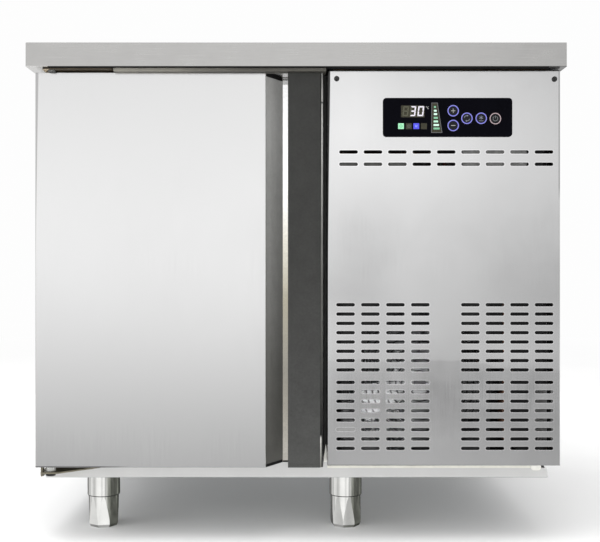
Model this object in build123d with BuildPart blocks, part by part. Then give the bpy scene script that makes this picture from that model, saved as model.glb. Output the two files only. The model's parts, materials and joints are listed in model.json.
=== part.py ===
from build123d import *
import math
import os

os.makedirs("parts", exist_ok=True)

# ---------------------------------------------------------------------------
# Driving dimensions, millimetres. X runs to the viewer's right, Y to the back,
# Z up. The origin is on the floor under the middle of the worktop.
# ---------------------------------------------------------------------------
HEIGHT = 840.0            # floor to worktop surface, feet wound in
TOP_W = 900.0             # worktop width
TOP_D = 700.0             # worktop depth
TOP_T = 40.0              # worktop edge height
TOP_SHEET = 1.2           # worktop sheet
UNDER = HEIGHT - TOP_T    # underside of the worktop

CAB_X = 440.0             # half width of the carcass
CAB_FRONT = -261.0        # front plane of the carcass
CAB_REAR = 340.0
BASE_Z = 98.0             # underside of the base pan
SHEET = 1.0               # carcass sheet
DIVIDER_X = 48.0          # right face of the storage compartment

CAV_X0, CAV_X1 = -385.0, -7.0      # storage cavity, inside the liner
CAV_Y1 = 285.0
CAV_Z0, CAV_Z1 = 162.0, 757.0

DOOR_X0 = -440.0          # left edge of the door
DOOR_FRONT = -328.0       # front face of the door
DOOR_BACK = -272.0        # back face of the door's inner panel
DOOR_Z0, DOOR_Z1 = 129.0, 794.0
RECESS_X0 = -51.8         # front edge of the slanted wall of the grip recess
RECESS_X1 = -23.6         # its rear edge
RECESS_Y = -281.5         # floor of the recess
GRIP_X0, GRIP_X1 = -14.0, 40.0     # flat front of the dark grip profile
DOOR_X1 = 45.0            # right side of the door
PIN_X, PIN_Y = -420.0, -302.0      # hinge axis
PIN_R = 4.0
BUSH_BORE = 4.05

PANEL_X0, PANEL_X1 = 52.7, 444.0   # machine front panel
PANEL_FRONT = -331.0
PANEL_REAR = -262.0
PANEL_Z0, PANEL_Z1 = 132.5, 798.2
PANEL_T = 1.2
SLOT_L, SLOT_H = 31.2, 5.6

FOOT_XY = {
    "foot_front_left": (-350.0, -200.0),
    "foot_front_right": (89.0, -200.0),
    "foot_rear_left": (-350.0, 285.0),
    "foot_rear_right": (375.0, 285.0),
}
SLEEVE_R = 29.0
SLEEVE_BORE = 27.0
SLEEVE_Z0 = 57.0

FAN_X, FAN_Z = 223.0, 257.0        # condenser fan axis
FAN_R = 127.0                      # condenser fan radius
EVF_X, EVF_Z = -75.0, 632.0        # evaporator fan axis
COMP_X, COMP_Y = 342.0, 60.0       # compressor axis


def block(x0, x1, y0, y1, z0, z1, mode=Mode.ADD):
    """Axis-aligned block between two corners, in the open part."""
    with Locations(((x0 + x1) / 2, (y0 + y1) / 2, (z0 + z1) / 2)):
        Box(x1 - x0, y1 - y0, z1 - z0, mode=mode)


def rod_y(x, z, y0, y1, r, mode=Mode.ADD):
    """Round rod along Y, in the open part."""
    with Locations(Location((x, (y0 + y1) / 2, z), (90, 0, 0))):
        Cylinder(r, y1 - y0, mode=mode)


def rod_x(y, z, x0, x1, r, mode=Mode.ADD):
    """Round rod along X, in the open part."""
    with Locations(Location(((x0 + x1) / 2, y, z), (0, 90, 0))):
        Cylinder(r, x1 - x0, mode=mode)


def rod_z(x, y, z0, z1, r, mode=Mode.ADD):
    """Round rod along Z, in the open part."""
    with Locations((x, y, (z0 + z1) / 2)):
        Cylinder(r, z1 - z0, mode=mode)


# ---------------------------------------------------------------------------
# Worktop
# ---------------------------------------------------------------------------
with BuildPart() as worktop:
    block(-TOP_W / 2, TOP_W / 2, -TOP_D / 2, TOP_D / 2, UNDER, HEIGHT)
    fillet(worktop.edges().filter_by(Axis.Z), 1.5)
    fillet(worktop.faces().sort_by(Axis.Z)[-1].edges(), 1.0)
    block(-TOP_W / 2 + TOP_SHEET, TOP_W / 2 - TOP_SHEET, -TOP_D / 2 + TOP_SHEET, TOP_D / 2 - TOP_SHEET,
          UNDER + TOP_SHEET, HEIGHT - TOP_SHEET, Mode.SUBTRACT)
    # the edges are folded under by 25 mm, and the middle of the underside is open
    block(-TOP_W / 2 + 25, TOP_W / 2 - 25, -TOP_D / 2 + 25, TOP_D / 2 - 25,
          UNDER - 1, UNDER + TOP_SHEET + 1, Mode.SUBTRACT)
worktop.part.label = "worktop"
export_step(worktop.part, "parts/worktop.step")

with BuildPart() as worktop_core:
    block(-TOP_W / 2 + TOP_SHEET, TOP_W / 2 - TOP_SHEET, -TOP_D / 2 + TOP_SHEET, TOP_D / 2 - TOP_SHEET,
          UNDER + TOP_SHEET, HEIGHT - TOP_SHEET)
worktop_core.part.label = "worktop_core"
export_step(worktop_core.part, "parts/worktop_core.step")

# Folded strip between the door and the worktop: top leg against the worktop,
# front leg turned down and folded back over the door.
with BuildPart() as top_rail:
    with BuildSketch(Plane.YZ.offset(-306)) as top_rail_section:
        with BuildLine():
            Polyline((-340, 794.4), (-312, 794.4), (-312, 795.4), (-338.8, 795.4), (-338.8, 798.8),
                     (-262, 798.8), (-262, 788.5), (-261, 788.5), (-261, 800), (-340, 800), close=True)
        make_face()
    extrude(amount=50 + 306)
top_rail.part.label = "top_rail"
export_step(top_rail.part, "parts/top_rail.step")

# ---------------------------------------------------------------------------
# Storage compartment: wrap, foam, liner, front frame
# ---------------------------------------------------------------------------
SUCTION_Y, SUCTION_Z = 268.0, 728.0     # suction line through the divider
DRAIN_Y, DRAIN_Z = 255.0, 538.0         # drain through the divider
HINGE_SCREW_X = (-395.0, -358.0, -321.0)
HINGE_SCREW_Z = 792.4

with BuildPart() as cabinet_shell:
    with BuildSketch(Plane.XY.offset(100)):
        with Locations(((-CAB_X + DIVIDER_X) / 2, (-260 + CAB_REAR) / 2)):
            Rectangle(DIVIDER_X + CAB_X, CAB_REAR + 260)
        with Locations(((-CAB_X + DIVIDER_X) / 2, (-260 + CAB_REAR) / 2 - SHEET)):
            Rectangle(DIVIDER_X + CAB_X - 2 * SHEET, CAB_REAR + 260, mode=Mode.SUBTRACT)
    extrude(amount=700)
    rod_x(SUCTION_Y, SUCTION_Z, 40, 55, 5.4, Mode.SUBTRACT)
    rod_x(DRAIN_Y, DRAIN_Z, 40, 55, 8.3, Mode.SUBTRACT)
    fillet(cabinet_shell.edges().filter_by(Axis.Z).filter_by_position(Axis.Y, 339.9, 340.1), 0.9)
cabinet_shell.part.label = "cabinet_shell"
export_step(cabinet_shell.part, "parts/cabinet_shell.step")

with BuildPart() as insulation_foam:
    block(-439, 47, -260, 339, 100, 800)
    block(CAV_X0 - 1, CAV_X1 + 1, -261, CAV_Y1 + 1, CAV_Z0 - 1, CAV_Z1 + 1, Mode.SUBTRACT)
    rod_x(SUCTION_Y, SUCTION_Z, -10, 55, 5.4, Mode.SUBTRACT)
    rod_x(DRAIN_Y, DRAIN_Z, -10, 55, 8.3, Mode.SUBTRACT)
    for sx in HINGE_SCREW_X:
        rod_y(sx, HINGE_SCREW_Z, -261, -244, 2.6, Mode.SUBTRACT)
insulation_foam.part.label = "insulation_foam"
export_step(insulation_foam.part, "parts/insulation_foam.step")

with BuildPart() as inner_liner:
    block(CAV_X0 - 1, CAV_X1 + 1, -260, CAV_Y1 + 1, CAV_Z0 - 1, CAV_Z1 + 1)
    block(CAV_X0, CAV_X1, -262, CAV_Y1, CAV_Z0, CAV_Z1, Mode.SUBTRACT)
    rod_x(SUCTION_Y, SUCTION_Z, -12, 0, 5.4, Mode.SUBTRACT)
    rod_x(DRAIN_Y, DRAIN_Z, -12, 0, 8.3, Mode.SUBTRACT)
inner_liner.part.label = "inner_liner"
export_step(inner_liner.part, "parts/inner_liner.step")

with BuildPart() as front_frame:
    block(-CAB_X, DIVIDER_X + 2, CAB_FRONT, -260, 130, 788.5)
    block(CAV_X0, CAV_X1, -263, -258, CAV_Z0, CAV_Z1, Mode.SUBTRACT)
front_frame.part.label = "front_frame"
export_step(front_frame.part, "parts/front_frame.step")

# ---------------------------------------------------------------------------
# Base
# ---------------------------------------------------------------------------
with BuildPart() as base_pan:
    block(-CAB_X, CAB_X, CAB_FRONT, CAB_REAR, BASE_Z, 100)
    block(-CAB_X, CAB_X, CAB_FRONT, -260, BASE_Z, 130)
    # the front flange ends at a slant at the right
    with BuildSketch(Plane.XZ.offset(258)):
        with BuildLine():
            Polyline((429.5, 131), (429.5, 116.2), (435.6, 116.2), (438, 100), (450, 100), (450, 131), close=True)
        make_face()
    extrude(amount=5, mode=Mode.SUBTRACT)
    # stiffening channels pressed into the pan between the legs
    for ry in (-90.0, 60.0, 210.0):
        block(-430, 430, ry - 12, ry + 12, 92, BASE_Z)
        block(-432, 432, ry - 10, ry + 10, 94, 100.5, Mode.SUBTRACT)
    block(-CAB_X, CAB_X, -200, 320, 100 - 0.8, 100)
base_pan.part.label = "base_pan"
export_step(base_pan.part, "parts/base_pan.step")

# Light grey channel across the front of the base; its right end is cut at a slant
with BuildPart() as base_front_strip:
    with BuildSketch(Plane.YZ.offset(-437)):
        with BuildLine():
            Polyline((-267, 99.8), (-261, 99.8), (-261, 101), (-265.8, 101), (-265.8, 126.3),
                     (-261, 126.3), (-261, 127.5), (-267, 127.5), close=True)
        make_face()
    extrude(amount=877.2)
    with BuildSketch(Plane.XZ.offset(255)):
        with BuildLine():
            Polyline((429.5, 131), (429.5, 116.2), (437.3, 116.2), (440.1, 97.5), (450, 97.5), (450, 131), close=True)
        make_face()
    extrude(amount=20, mode=Mode.SUBTRACT)
base_front_strip.part.label = "base_front_strip"
export_step(base_front_strip.part, "parts/base_front_strip.step")

# ---------------------------------------------------------------------------
# Machine compartment: side, rear, support rail
# ---------------------------------------------------------------------------
with BuildPart() as machine_side_panel:
    block(CAB_X - SHEET, CAB_X, -260, CAB_REAR, 100, 800)
    block(CAB_X - 3, CAB_X + 1, -261, -238, 99, 131, Mode.SUBTRACT)
    # two folded tabs at the front edge
    block(CAB_X - 25, CAB_X, CAB_FRONT, -260, 158, 254)
    block(CAB_X - 25, CAB_X, CAB_FRONT, -260, 690, 768)
    block(CAB_X - 20, CAB_X, CAB_REAR - SHEET, CAB_REAR, 100, 800)
    with BuildSketch(Plane.YZ.offset(CAB_X - 3)):
        with Locations((-30, 250)):
            with GridLocations(48, 15.6, 6, 10):
                SlotOverall(34, 5)
    extrude(amount=6, mode=Mode.SUBTRACT)
machine_side_panel.part.label = "machine_side_panel"
export_step(machine_side_panel.part, "parts/machine_side_panel.step")

GLAND_X, GLAND_Z = 380.0, 150.0
with BuildPart() as machine_rear_grille:
    block(DIVIDER_X, CAB_X - 20, CAB_REAR - SHEET, CAB_REAR, 100, 800)
    with BuildSketch(Plane.XZ.offset(-CAB_REAR + 3)):
        with Locations((234, 420)):
            with GridLocations(74, 16, 4, 24):
                SlotOverall(60, 6)
        with Locations((GLAND_X, GLAND_Z)):
            Circle(8.1)
    extrude(amount=-6, mode=Mode.SUBTRACT)
machine_rear_grille.part.label = "machine_rear_grille"
export_step(machine_rear_grille.part, "parts/machine_rear_grille.step")

PANEL_SCREWS = ((68.0, 783.3), (434.0, 782.5))
CLIP_X = (82.0, 418.2)          # clips that hold the panel's lower fold
# Cross rail under the worktop with two forward arms that take the panel screws
with BuildPart() as panel_support_rail:
    block(DIVIDER_X, CAB_X - SHEET, -260, -220, 798.5, 800)
    block(DIVIDER_X + 2.5, CAB_X - SHEET, -261, -259.5, 770, 800)
    for x0, x1 in ((58.0, 78.0), (422.0, 439.5)):
        block(x0, x1, -329.8, -327.8, 773, 794)
        block(x0, x1, -329.8, -261, 792.5, 794)
        block(x0, x1, -262.5, -261, 776, 794)
    rod_y(PANEL_SCREWS[0][0], PANEL_SCREWS[0][1], -332, -325, 2.05, Mode.SUBTRACT)
    rod_y(PANEL_SCREWS[1][0], PANEL_SCREWS[1][1], -332, -325, 2.05, Mode.SUBTRACT)
panel_support_rail.part.label = "panel_support_rail"
export_step(panel_support_rail.part, "parts/panel_support_rail.step")

# ---------------------------------------------------------------------------
# Machine front panel: a folded tray, open at the back
# ---------------------------------------------------------------------------
UPPER_X = [87.9 + 41.07 * i for i in range(9)]
UPPER_Z = (660.1, 639.5)
LOWER_X = (82.9, 124.6, 166.8, 208.6, 292.7, 334.1, 375.4, 416.6)
LOWER_Z = tuple(403.2 - 15.64 * i for i in range(8)) + tuple(272.7 - 15.85 * i for i in range(8))
FACE_X0, FACE_X1 = 145.5, 362.8       # controller faceplate
FACE_Z0, FACE_Z1 = 685.3, 750.7

with BuildPart() as machine_front_panel:
    block(PANEL_X0, PANEL_X1, PANEL_FRONT, PANEL_REAR, PANEL_Z0, PANEL_Z1)
    fillet(machine_front_panel.faces().sort_by(Axis.Y)[0].edges(), 2.2)
    block(PANEL_X0 + PANEL_T, PANEL_X1 - PANEL_T, PANEL_FRONT + PANEL_T, PANEL_REAR + 2,
          PANEL_Z0 + PANEL_T, PANEL_Z1 - PANEL_T, Mode.SUBTRACT)
    with BuildSketch(Plane.XZ.offset(-PANEL_FRONT + 2)):
        with Locations([(x, z) for x in UPPER_X for z in UPPER_Z]):
            SlotOverall(SLOT_L, SLOT_H)
        with Locations([(x, z) for x in LOWER_X for z in LOWER_Z]):
            SlotOverall(SLOT_L, SLOT_H)
        with Locations(((FACE_X0 + FACE_X1) / 2, (FACE_Z0 + FACE_Z1) / 2)):
            Rectangle(208, 56)
        with Locations(*PANEL_SCREWS):
            Circle(2.3)
    extrude(amount=-5, mode=Mode.SUBTRACT)
    # two round holes in the bottom fold drop over the pins of the lower clips
    for cx in CLIP_X:
        rod_z(cx, -290, PANEL_Z0 - 2, PANEL_Z0 + 4, 3.2, Mode.SUBTRACT)
machine_front_panel.part.label = "machine_front_panel"
export_step(machine_front_panel.part, "parts/machine_front_panel.step")

with BuildPart() as panel_screws:
    for px, pz in PANEL_SCREWS:
        rod_y(px, pz, PANEL_FRONT - 2.4, PANEL_FRONT, 4.5)
        rod_y(px, pz, PANEL_FRONT - 0.5, -322, 2.0)
    fillet(panel_screws.edges().filter_by(GeomType.CIRCLE).group_by(Axis.Y)[0], 1.1)
    for px, pz in PANEL_SCREWS:
        block(px - 3, px + 3, PANEL_FRONT - 3, PANEL_FRONT - 1.4, pz - 0.5, pz + 0.5, Mode.SUBTRACT)
        block(px - 0.5, px + 0.5, PANEL_FRONT - 3, PANEL_FRONT - 1.4, pz - 3, pz + 3, Mode.SUBTRACT)
panel_screws.part.label = "panel_screws"
export_step(panel_screws.part, "parts/panel_screws.step")

with BuildPart() as panel_bottom_clips:
    for cx, low in zip(CLIP_X, (126.0, 112.0)):
        block(cx - 8.75, cx + 8.75, -269, -267, low, 132.5)
        block(cx - 8.75, cx + 8.75, -302, -267, 131, 132.5)
        rod_z(cx, -290, 131, 138, 3.0)
    fillet(panel_bottom_clips.edges().filter_by(Axis.Y).group_by(Axis.Z)[0], 5)
panel_bottom_clips.part.label = "panel_bottom_clips"
export_step(panel_bottom_clips.part, "parts/panel_bottom_clips.step")

# ---------------------------------------------------------------------------
# Controller
# ---------------------------------------------------------------------------
KEYS = ((263.4, 728.9), (263.4, 704.2), (286.4, 716.3), (310.4, 716.3), (334.2, 715.8))
KEY_R = 9.7
LAMPS = (175.8, 188.9, 201.4, 214.3)
LAMP_Z = 703.0
WINDOW = (175.8, 215.4, 717.8, 737.8)
METER = ((227.9, 742.4), (237.3, 742.4), (245.0, 692.0), (227.0, 692.0))

with BuildPart() as control_faceplate:
    with BuildSketch(Plane.XZ.offset(-PANEL_FRONT)):
        with Locations(((FACE_X0 + FACE_X1) / 2, (FACE_Z0 + FACE_Z1) / 2)):
            RectangleRounded(FACE_X1 - FACE_X0, FACE_Z1 - FACE_Z0, 6)
    extrude(amount=3)
    fillet(control_faceplate.faces().sort_by(Axis.Y)[0].edges(), 0.9)
    # shallow pockets that take the lenses and the touch discs flush
    with BuildSketch(Plane.XZ.offset(-PANEL_FRONT + 3)):
        with Locations(*KEYS):
            Circle(KEY_R)
        with Locations(((WINDOW[0] + WINDOW[1]) / 2, (WINDOW[2] + WINDOW[3]) / 2)):
            RectangleRounded(WINDOW[1] - WINDOW[0], WINDOW[3] - WINDOW[2], 1.2)
        with Locations(*[(lx, LAMP_Z) for lx in LAMPS]):
            RectangleRounded(10.2, 10.2, 1.0)
        with BuildLine():
            Polyline(*METER, close=True)
        make_face()
    extrude(amount=-1.2, mode=Mode.SUBTRACT)
control_faceplate.part.label = "control_faceplate"
export_step(control_faceplate.part, "parts/control_faceplate.step")

with BuildPart() as touch_keys:
    with BuildSketch(Plane.XZ.offset(-PANEL_FRONT + 1.8)):
        with Locations(*KEYS):
            Circle(KEY_R - 0.1)
    extrude(amount=1.1)
touch_keys.part.label = "touch_keys"
export_step(touch_keys.part, "parts/touch_keys.step")

with BuildPart() as display_lenses:
    with BuildSketch(Plane.XZ.offset(-PANEL_FRONT + 1.8)):
        with Locations(((WINDOW[0] + WINDOW[1]) / 2, (WINDOW[2] + WINDOW[3]) / 2)):
            RectangleRounded(WINDOW[1] - WINDOW[0] - 0.2, WINDOW[3] - WINDOW[2] - 0.2, 1.1)
        with Locations(*[(lx, LAMP_Z) for lx in LAMPS]):
            RectangleRounded(10.0, 10.0, 0.9)
        with BuildLine():
            Polyline((228.1, 742.2), (237.1, 742.2), (244.7, 692.2), (227.2, 692.2), close=True)
        make_face()
    extrude(amount=1.1)
display_lenses.part.label = "display_lenses"
export_step(display_lenses.part, "parts/display_lenses.step")

with BuildPart() as control_housing:
    block(151, 357.3, -331, -288, 690.5, 745.5)
    fillet(control_housing.edges().filter_by(Axis.Y), 3)
    block(153, 355.3, -333, -290, 692.5, 743.5, Mode.SUBTRACT)
    # cable entry in the rear wall
    block(335, 350, -292, -286, 698, 704, Mode.SUBTRACT)
control_housing.part.label = "control_housing"
export_step(control_housing.part, "parts/control_housing.step")

with BuildPart() as control_board:
    block(153, 355.3, -324, -322.4, 692.5, 743.5)
    block(177, 214, -331, -324, 719, 736.5)          # digit module
    block(229, 240, -331, -324, 695, 740)            # bar module
    for kx, kz in KEYS:
        rod_y(kx, kz, -331, -324, 5)                 # sensing springs behind the keys
    for lx in LAMPS:
        rod_y(lx, LAMP_Z, -331, -324, 2.5)           # lamp diodes
    block(160, 178, -322.4, -306, 700, 715)          # relays
    block(184, 202, -322.4, -306, 700, 715)
    block(210, 240, -322.4, -300, 700, 730)          # transformer
    block(300, 345, -322.4, -311, 696, 706)          # terminal strip
control_board.part.label = "control_board"
export_step(control_board.part, "parts/control_board.step")

# ---------------------------------------------------------------------------
# Condensing unit
# ---------------------------------------------------------------------------
with BuildPart() as unit_base_plate:
    block(58, 432, -240, 322, 100, 102)
    block(58, 60, -240, 322, 100, 110)
    block(430, 432, -240, 322, 100, 110)
unit_base_plate.part.label = "unit_base_plate"
export_step(unit_base_plate.part, "parts/unit_base_plate.step")

with BuildPart() as compressor:
    rod_z(COMP_X, COMP_Y, 120, 305, 80)
    fillet(compressor.edges().filter_by(GeomType.CIRCLE).sort_by(Axis.Z)[-1], 44)
    fillet(compressor.edges().filter_by(GeomType.CIRCLE).sort_by(Axis.Z)[0], 16)
    rod_z(COMP_X, COMP_Y, 212, 219, 85)              # weld seam
    rod_z(COMP_X + 30, COMP_Y + 40, 280, 304, 7)     # service stub
    # mounting plate with four corner holes
    block(COMP_X - 82, COMP_X + 82, COMP_Y - 82, COMP_Y + 82, 119, 126)
    for sx in (-68, 68):
        for sy in (-68, 68):
            rod_z(COMP_X + sx, COMP_Y + sy, 110, 130, 6.2, Mode.SUBTRACT)
compressor.part.label = "compressor"
export_step(compressor.part, "parts/compressor.step")

with BuildPart() as compressor_grommets:
    for sx in (-68, 68):
        for sy in (-68, 68):
            rod_z(COMP_X + sx, COMP_Y + sy, 102, 119, 11.5)
            rod_z(COMP_X + sx, COMP_Y + sy, 118, 128, 6.0)
            rod_z(COMP_X + sx, COMP_Y + sy, 126, 131, 9.0)
compressor_grommets.part.label = "compressor_grommets"
export_step(compressor_grommets.part, "parts/compressor_grommets.step")

with BuildPart() as compressor_terminal_box:
    block(COMP_X - 112, COMP_X - 60, COMP_Y - 28, COMP_Y + 28, 150, 206)
    fillet(compressor_terminal_box.faces().sort_by(Axis.X)[0].edges(), 4)
    rod_z(COMP_X, COMP_Y, 140, 220, 80.3, Mode.SUBTRACT)
compressor_terminal_box.part.label = "compressor_terminal_box"
export_step(compressor_terminal_box.part, "parts/compressor_terminal_box.step")


COIL_X0, COIL_X1 = 86.0, 352.0
COIL_Y0, COIL_Y1 = -108.0, -62.0
COIL_Z0, COIL_Z1 = 104.0, 404.0
COIL_ROWS_Y = (-96.0, -74.0)
COIL_ROWS_Z = tuple(122.0 + 29.0 * i for i in range(10))

with BuildPart() as condenser_coil:
    # end plates stand on the unit base; fins hang between them on the tubes
    block(COIL_X0, COIL_X0 + 2, COIL_Y0, COIL_Y1, 102, COIL_Z1)
    block(COIL_X1 - 2, COIL_X1, COIL_Y0, COIL_Y1, 102, COIL_Z1)
    for i in range(41):
        fx = COIL_X0 + 7.5 + 6.25 * i
        block(fx, fx + 0.9, COIL_Y0 + 1, COIL_Y1 - 1, 108, COIL_Z1 - 3)
    with BuildSketch(Plane.YZ.offset(COIL_X0 + 1)):
        with Locations([(y, z) for y in COIL_ROWS_Y for z in COIL_ROWS_Z]):
            Circle(4.5)
    extrude(amount=COIL_X1 - COIL_X0 + 3)
    # return bends at the right end
    for bz in COIL_ROWS_Z:
        with BuildSketch(Plane.YZ.offset(COIL_X1 + 4)):
            with Locations((COIL_ROWS_Y[0], bz)):
                Circle(4.5)
        revolve(axis=Axis((COIL_X1 + 4, -85.0, bz), (0, 0, 1)), revolution_arc=-180)
condenser_coil.part.label = "condenser_coil"
export_step(condenser_coil.part, "parts/condenser_coil.step")

with BuildPart() as condenser_shroud:
    block(84, 354, -186, -108, 102, 412)
    block(85.2, 352.8, -184.8, -107, 101, 410.8, Mode.SUBTRACT)
    rod_y(FAN_X, FAN_Z, -200, -186, FAN_R + 6)
    rod_y(FAN_X, FAN_Z, -204, -180, FAN_R + 4.8, Mode.SUBTRACT)
condenser_shroud.part.label = "condenser_shroud"
export_step(condenser_shroud.part, "parts/condenser_shroud.step")

with BuildPart() as condenser_fan_guard:
    with BuildSketch(Plane.XZ.offset(203)):
        with Locations((FAN_X, FAN_Z)):
            for gr in [130.6 - 10.9 * i for i in range(11)]:
                Circle(gr + 1.4)
                Circle(gr - 1.4, mode=Mode.SUBTRACT)
            Circle(11)
        for a in (45, 135, 225, 315):
            ca, sa = math.cos(math.radians(a)), math.sin(math.radians(a))
            with Locations((FAN_X + 75 * ca, FAN_Z + 75 * sa)):
                Rectangle(132, 2.8, rotation=a)
    extrude(amount=2.8)
    for a in (45, 135, 225, 315):
        ca, sa = math.cos(math.radians(a)), math.sin(math.radians(a))
        rod_y(FAN_X + 139 * ca, FAN_Z + 139 * sa, -205.8, -186, 2.8)
condenser_fan_guard.part.label = "condenser_fan_guard"
export_step(condenser_fan_guard.part, "parts/condenser_fan_guard.step")

with BuildPart() as condenser_fan_motor:
    rod_y(FAN_X, FAN_Z, -164, -116, 38)
    fillet(condenser_fan_motor.edges().filter_by(GeomType.CIRCLE), 5)
    rod_y(FAN_X, FAN_Z, -170, -160, 12)
    block(FAN_X - 12, FAN_X + 12, -118, -115, 102, 410.8)
    rod_y(FAN_X, FAN_Z, -175, -120, 3.06, Mode.SUBTRACT)
condenser_fan_motor.part.label = "condenser_fan_motor"
export_step(condenser_fan_motor.part, "parts/condenser_fan_motor.step")

with BuildPart() as condenser_blade:
    # one pressed sector blade, set at 28 degrees to the fan's plane
    with BuildSketch(Plane.XY):
        with BuildLine():
            Polyline((24, -14), (100, -44), (121, -30), (124.5, 22), (108, 46), (24, 18), close=True)
        make_face()
        fillet(vertices().sort_by(Axis.X)[2:6], 12)
    extrude(amount=0.8, both=True)

FAN_PHASE = 14.0          # resting angle of the first blade
with BuildPart() as condenser_fan_rotor:
    rod_y(FAN_X, FAN_Z, -199, -173, 33)
    fillet(condenser_fan_rotor.edges().filter_by(GeomType.CIRCLE).sort_by(Axis.Y)[0], 14)
    rod_y(FAN_X, FAN_Z, -180, -130, 3.0)
    for i in range(5):
        add(Location((FAN_X, -178.5, FAN_Z)) * Location((0, 0, 0), (0, 72 * i + FAN_PHASE, 0))
            * Location((0, 0, 0), (62, 0, 0)) * condenser_blade.part)
condenser_fan_rotor.part.label = "condenser_fan_rotor"
export_step(condenser_fan_rotor.part, "parts/condenser_fan_rotor.step")

DRIER_X, DRIER_Y = 400.0, -85.0
# Drier can with its inlet stub and the capillary that runs up beside the suction line
with BuildPart() as filter_drier:
    rod_z(DRIER_X, DRIER_Y, 160, 240, 11)
    fillet(filter_drier.edges().filter_by(GeomType.CIRCLE), 4)
    rod_z(DRIER_X, DRIER_Y, 150, 250, 3.2)
    with BuildLine() as drier_inlet:
        FilletPolyline((DRIER_X, DRIER_Y, 152), (DRIER_X, DRIER_Y, 122), (COIL_X1 + 19.7, DRIER_Y, 122), radius=10)
    with BuildSketch(Plane(origin=(DRIER_X, DRIER_Y, 152), z_dir=(0, 0, -1))):
        Circle(3.2)
    sweep(path=drier_inlet.wires()[0])
    with BuildLine() as capillary:
        FilletPolyline((DRIER_X, DRIER_Y, 248), (DRIER_X, DRIER_Y, 640), (DRIER_X, 200, 640), (110, 200, 640),
                       radius=30)
    with BuildSketch(Plane(origin=(DRIER_X, DRIER_Y, 248), z_dir=(0, 0, 1))):
        Circle(1.6)
    sweep(path=capillary.wires()[0])
filter_drier.part.label = "filter_drier"
export_step(filter_drier.part, "parts/filter_drier.step")

with BuildPart() as discharge_pipe:
    with BuildLine() as discharge_path:
        FilletPolyline((COMP_X, COMP_Y - 80.1, 250), (COMP_X, -42, 250), (COMP_X, -42, 428),
                       (COIL_X1 + 15, -85, 428), (COIL_X1 + 15, -85, 387.7), radius=13)
    with BuildSketch(Plane(origin=(COMP_X, COMP_Y - 80.1, 250), z_dir=(0, -1, 0))):
        Circle(3.2)
    sweep(path=discharge_path.wires()[0])
discharge_pipe.part.label = "discharge_pipe"
export_step(discharge_pipe.part, "parts/discharge_pipe.step")

with BuildPart() as suction_pipe:
    with BuildLine() as suction_path:
        FilletPolyline((-128, SUCTION_Y, SUCTION_Z), (COMP_X, SUCTION_Y, SUCTION_Z),
                       (COMP_X, SUCTION_Y, 180), (COMP_X, COMP_Y + 80.4, 180), radius=34)
    with BuildSketch(Plane(origin=(-128, SUCTION_Y, SUCTION_Z), z_dir=(1, 0, 0))):
        Circle(5.0)
    sweep(path=suction_path.wires()[0])
suction_pipe.part.label = "suction_pipe"
export_step(suction_pipe.part, "parts/suction_pipe.step")

with BuildPart() as condensate_tray:
    block(64, 236, 100, 316, 102, 136)
    fillet(condensate_tray.edges().filter_by(Axis.Z), 8)
    with BuildSketch(Plane.XY.offset(103.6)):
        with Locations((150, 208)):
            RectangleRounded(168.8, 212.8, 6.4)
    extrude(amount=40, mode=Mode.SUBTRACT)
condensate_tray.part.label = "condensate_tray"
export_step(condensate_tray.part, "parts/condensate_tray.step")

with BuildPart() as drain_pipe:
    with BuildLine() as drain_path:
        FilletPolyline((-18, DRAIN_Y, DRAIN_Z), (110, DRAIN_Y, DRAIN_Z), (110, DRAIN_Y, 142), radius=26)
    with BuildSketch(Plane(origin=(-18, DRAIN_Y, DRAIN_Z), z_dir=(1, 0, 0))):
        Circle(8)
        Circle(6.2, mode=Mode.SUBTRACT)
    sweep(path=drain_path.wires()[0])
drain_pipe.part.label = "drain_pipe"
export_step(drain_pipe.part, "parts/drain_pipe.step")

# ---------------------------------------------------------------------------
# Cold side
# ---------------------------------------------------------------------------
EV_X0, EV_X1 = -345.0, -160.0
EV_ROWS_Y = (232.0, 256.0)
EV_ROWS_Z = tuple(566.0 + 29.0 * i for i in range(6))
with BuildPart() as evaporator_coil:
    block(EV_X0, EV_X0 + 2, 218, 272, 548, 744)
    block(EV_X1 - 2, EV_X1, 218, 272, 548, 744)
    with BuildSketch(Plane.YZ.offset(EV_X0 + 1)):
        with Locations([(y, z) for y in EV_ROWS_Y for z in EV_ROWS_Z]):
            Circle(4.5)
    extrude(amount=EV_X1 - EV_X0 - 2)
    for i in range(21):
        fx = EV_X0 + 9 + 8.2 * i
        block(fx, fx + 0.9, 219, 271, 552, 728)
    for bz in EV_ROWS_Z:
        with BuildSketch(Plane.YZ.offset(EV_X1 - 1)):
            with Locations((EV_ROWS_Y[0], bz), (EV_ROWS_Y[1], bz)):
                Circle(4.5)
        extrude(amount=5)
        with BuildSketch(Plane.YZ.offset(EV_X1 + 4)):
            with Locations((EV_ROWS_Y[0], bz)):
                Circle(4.5)
        revolve(axis=Axis((EV_X1 + 4, 244.0, bz), (0, 0, 1)), revolution_arc=-180)
evaporator_coil.part.label = "evaporator_coil"
export_step(evaporator_coil.part, "parts/evaporator_coil.step")

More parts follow.
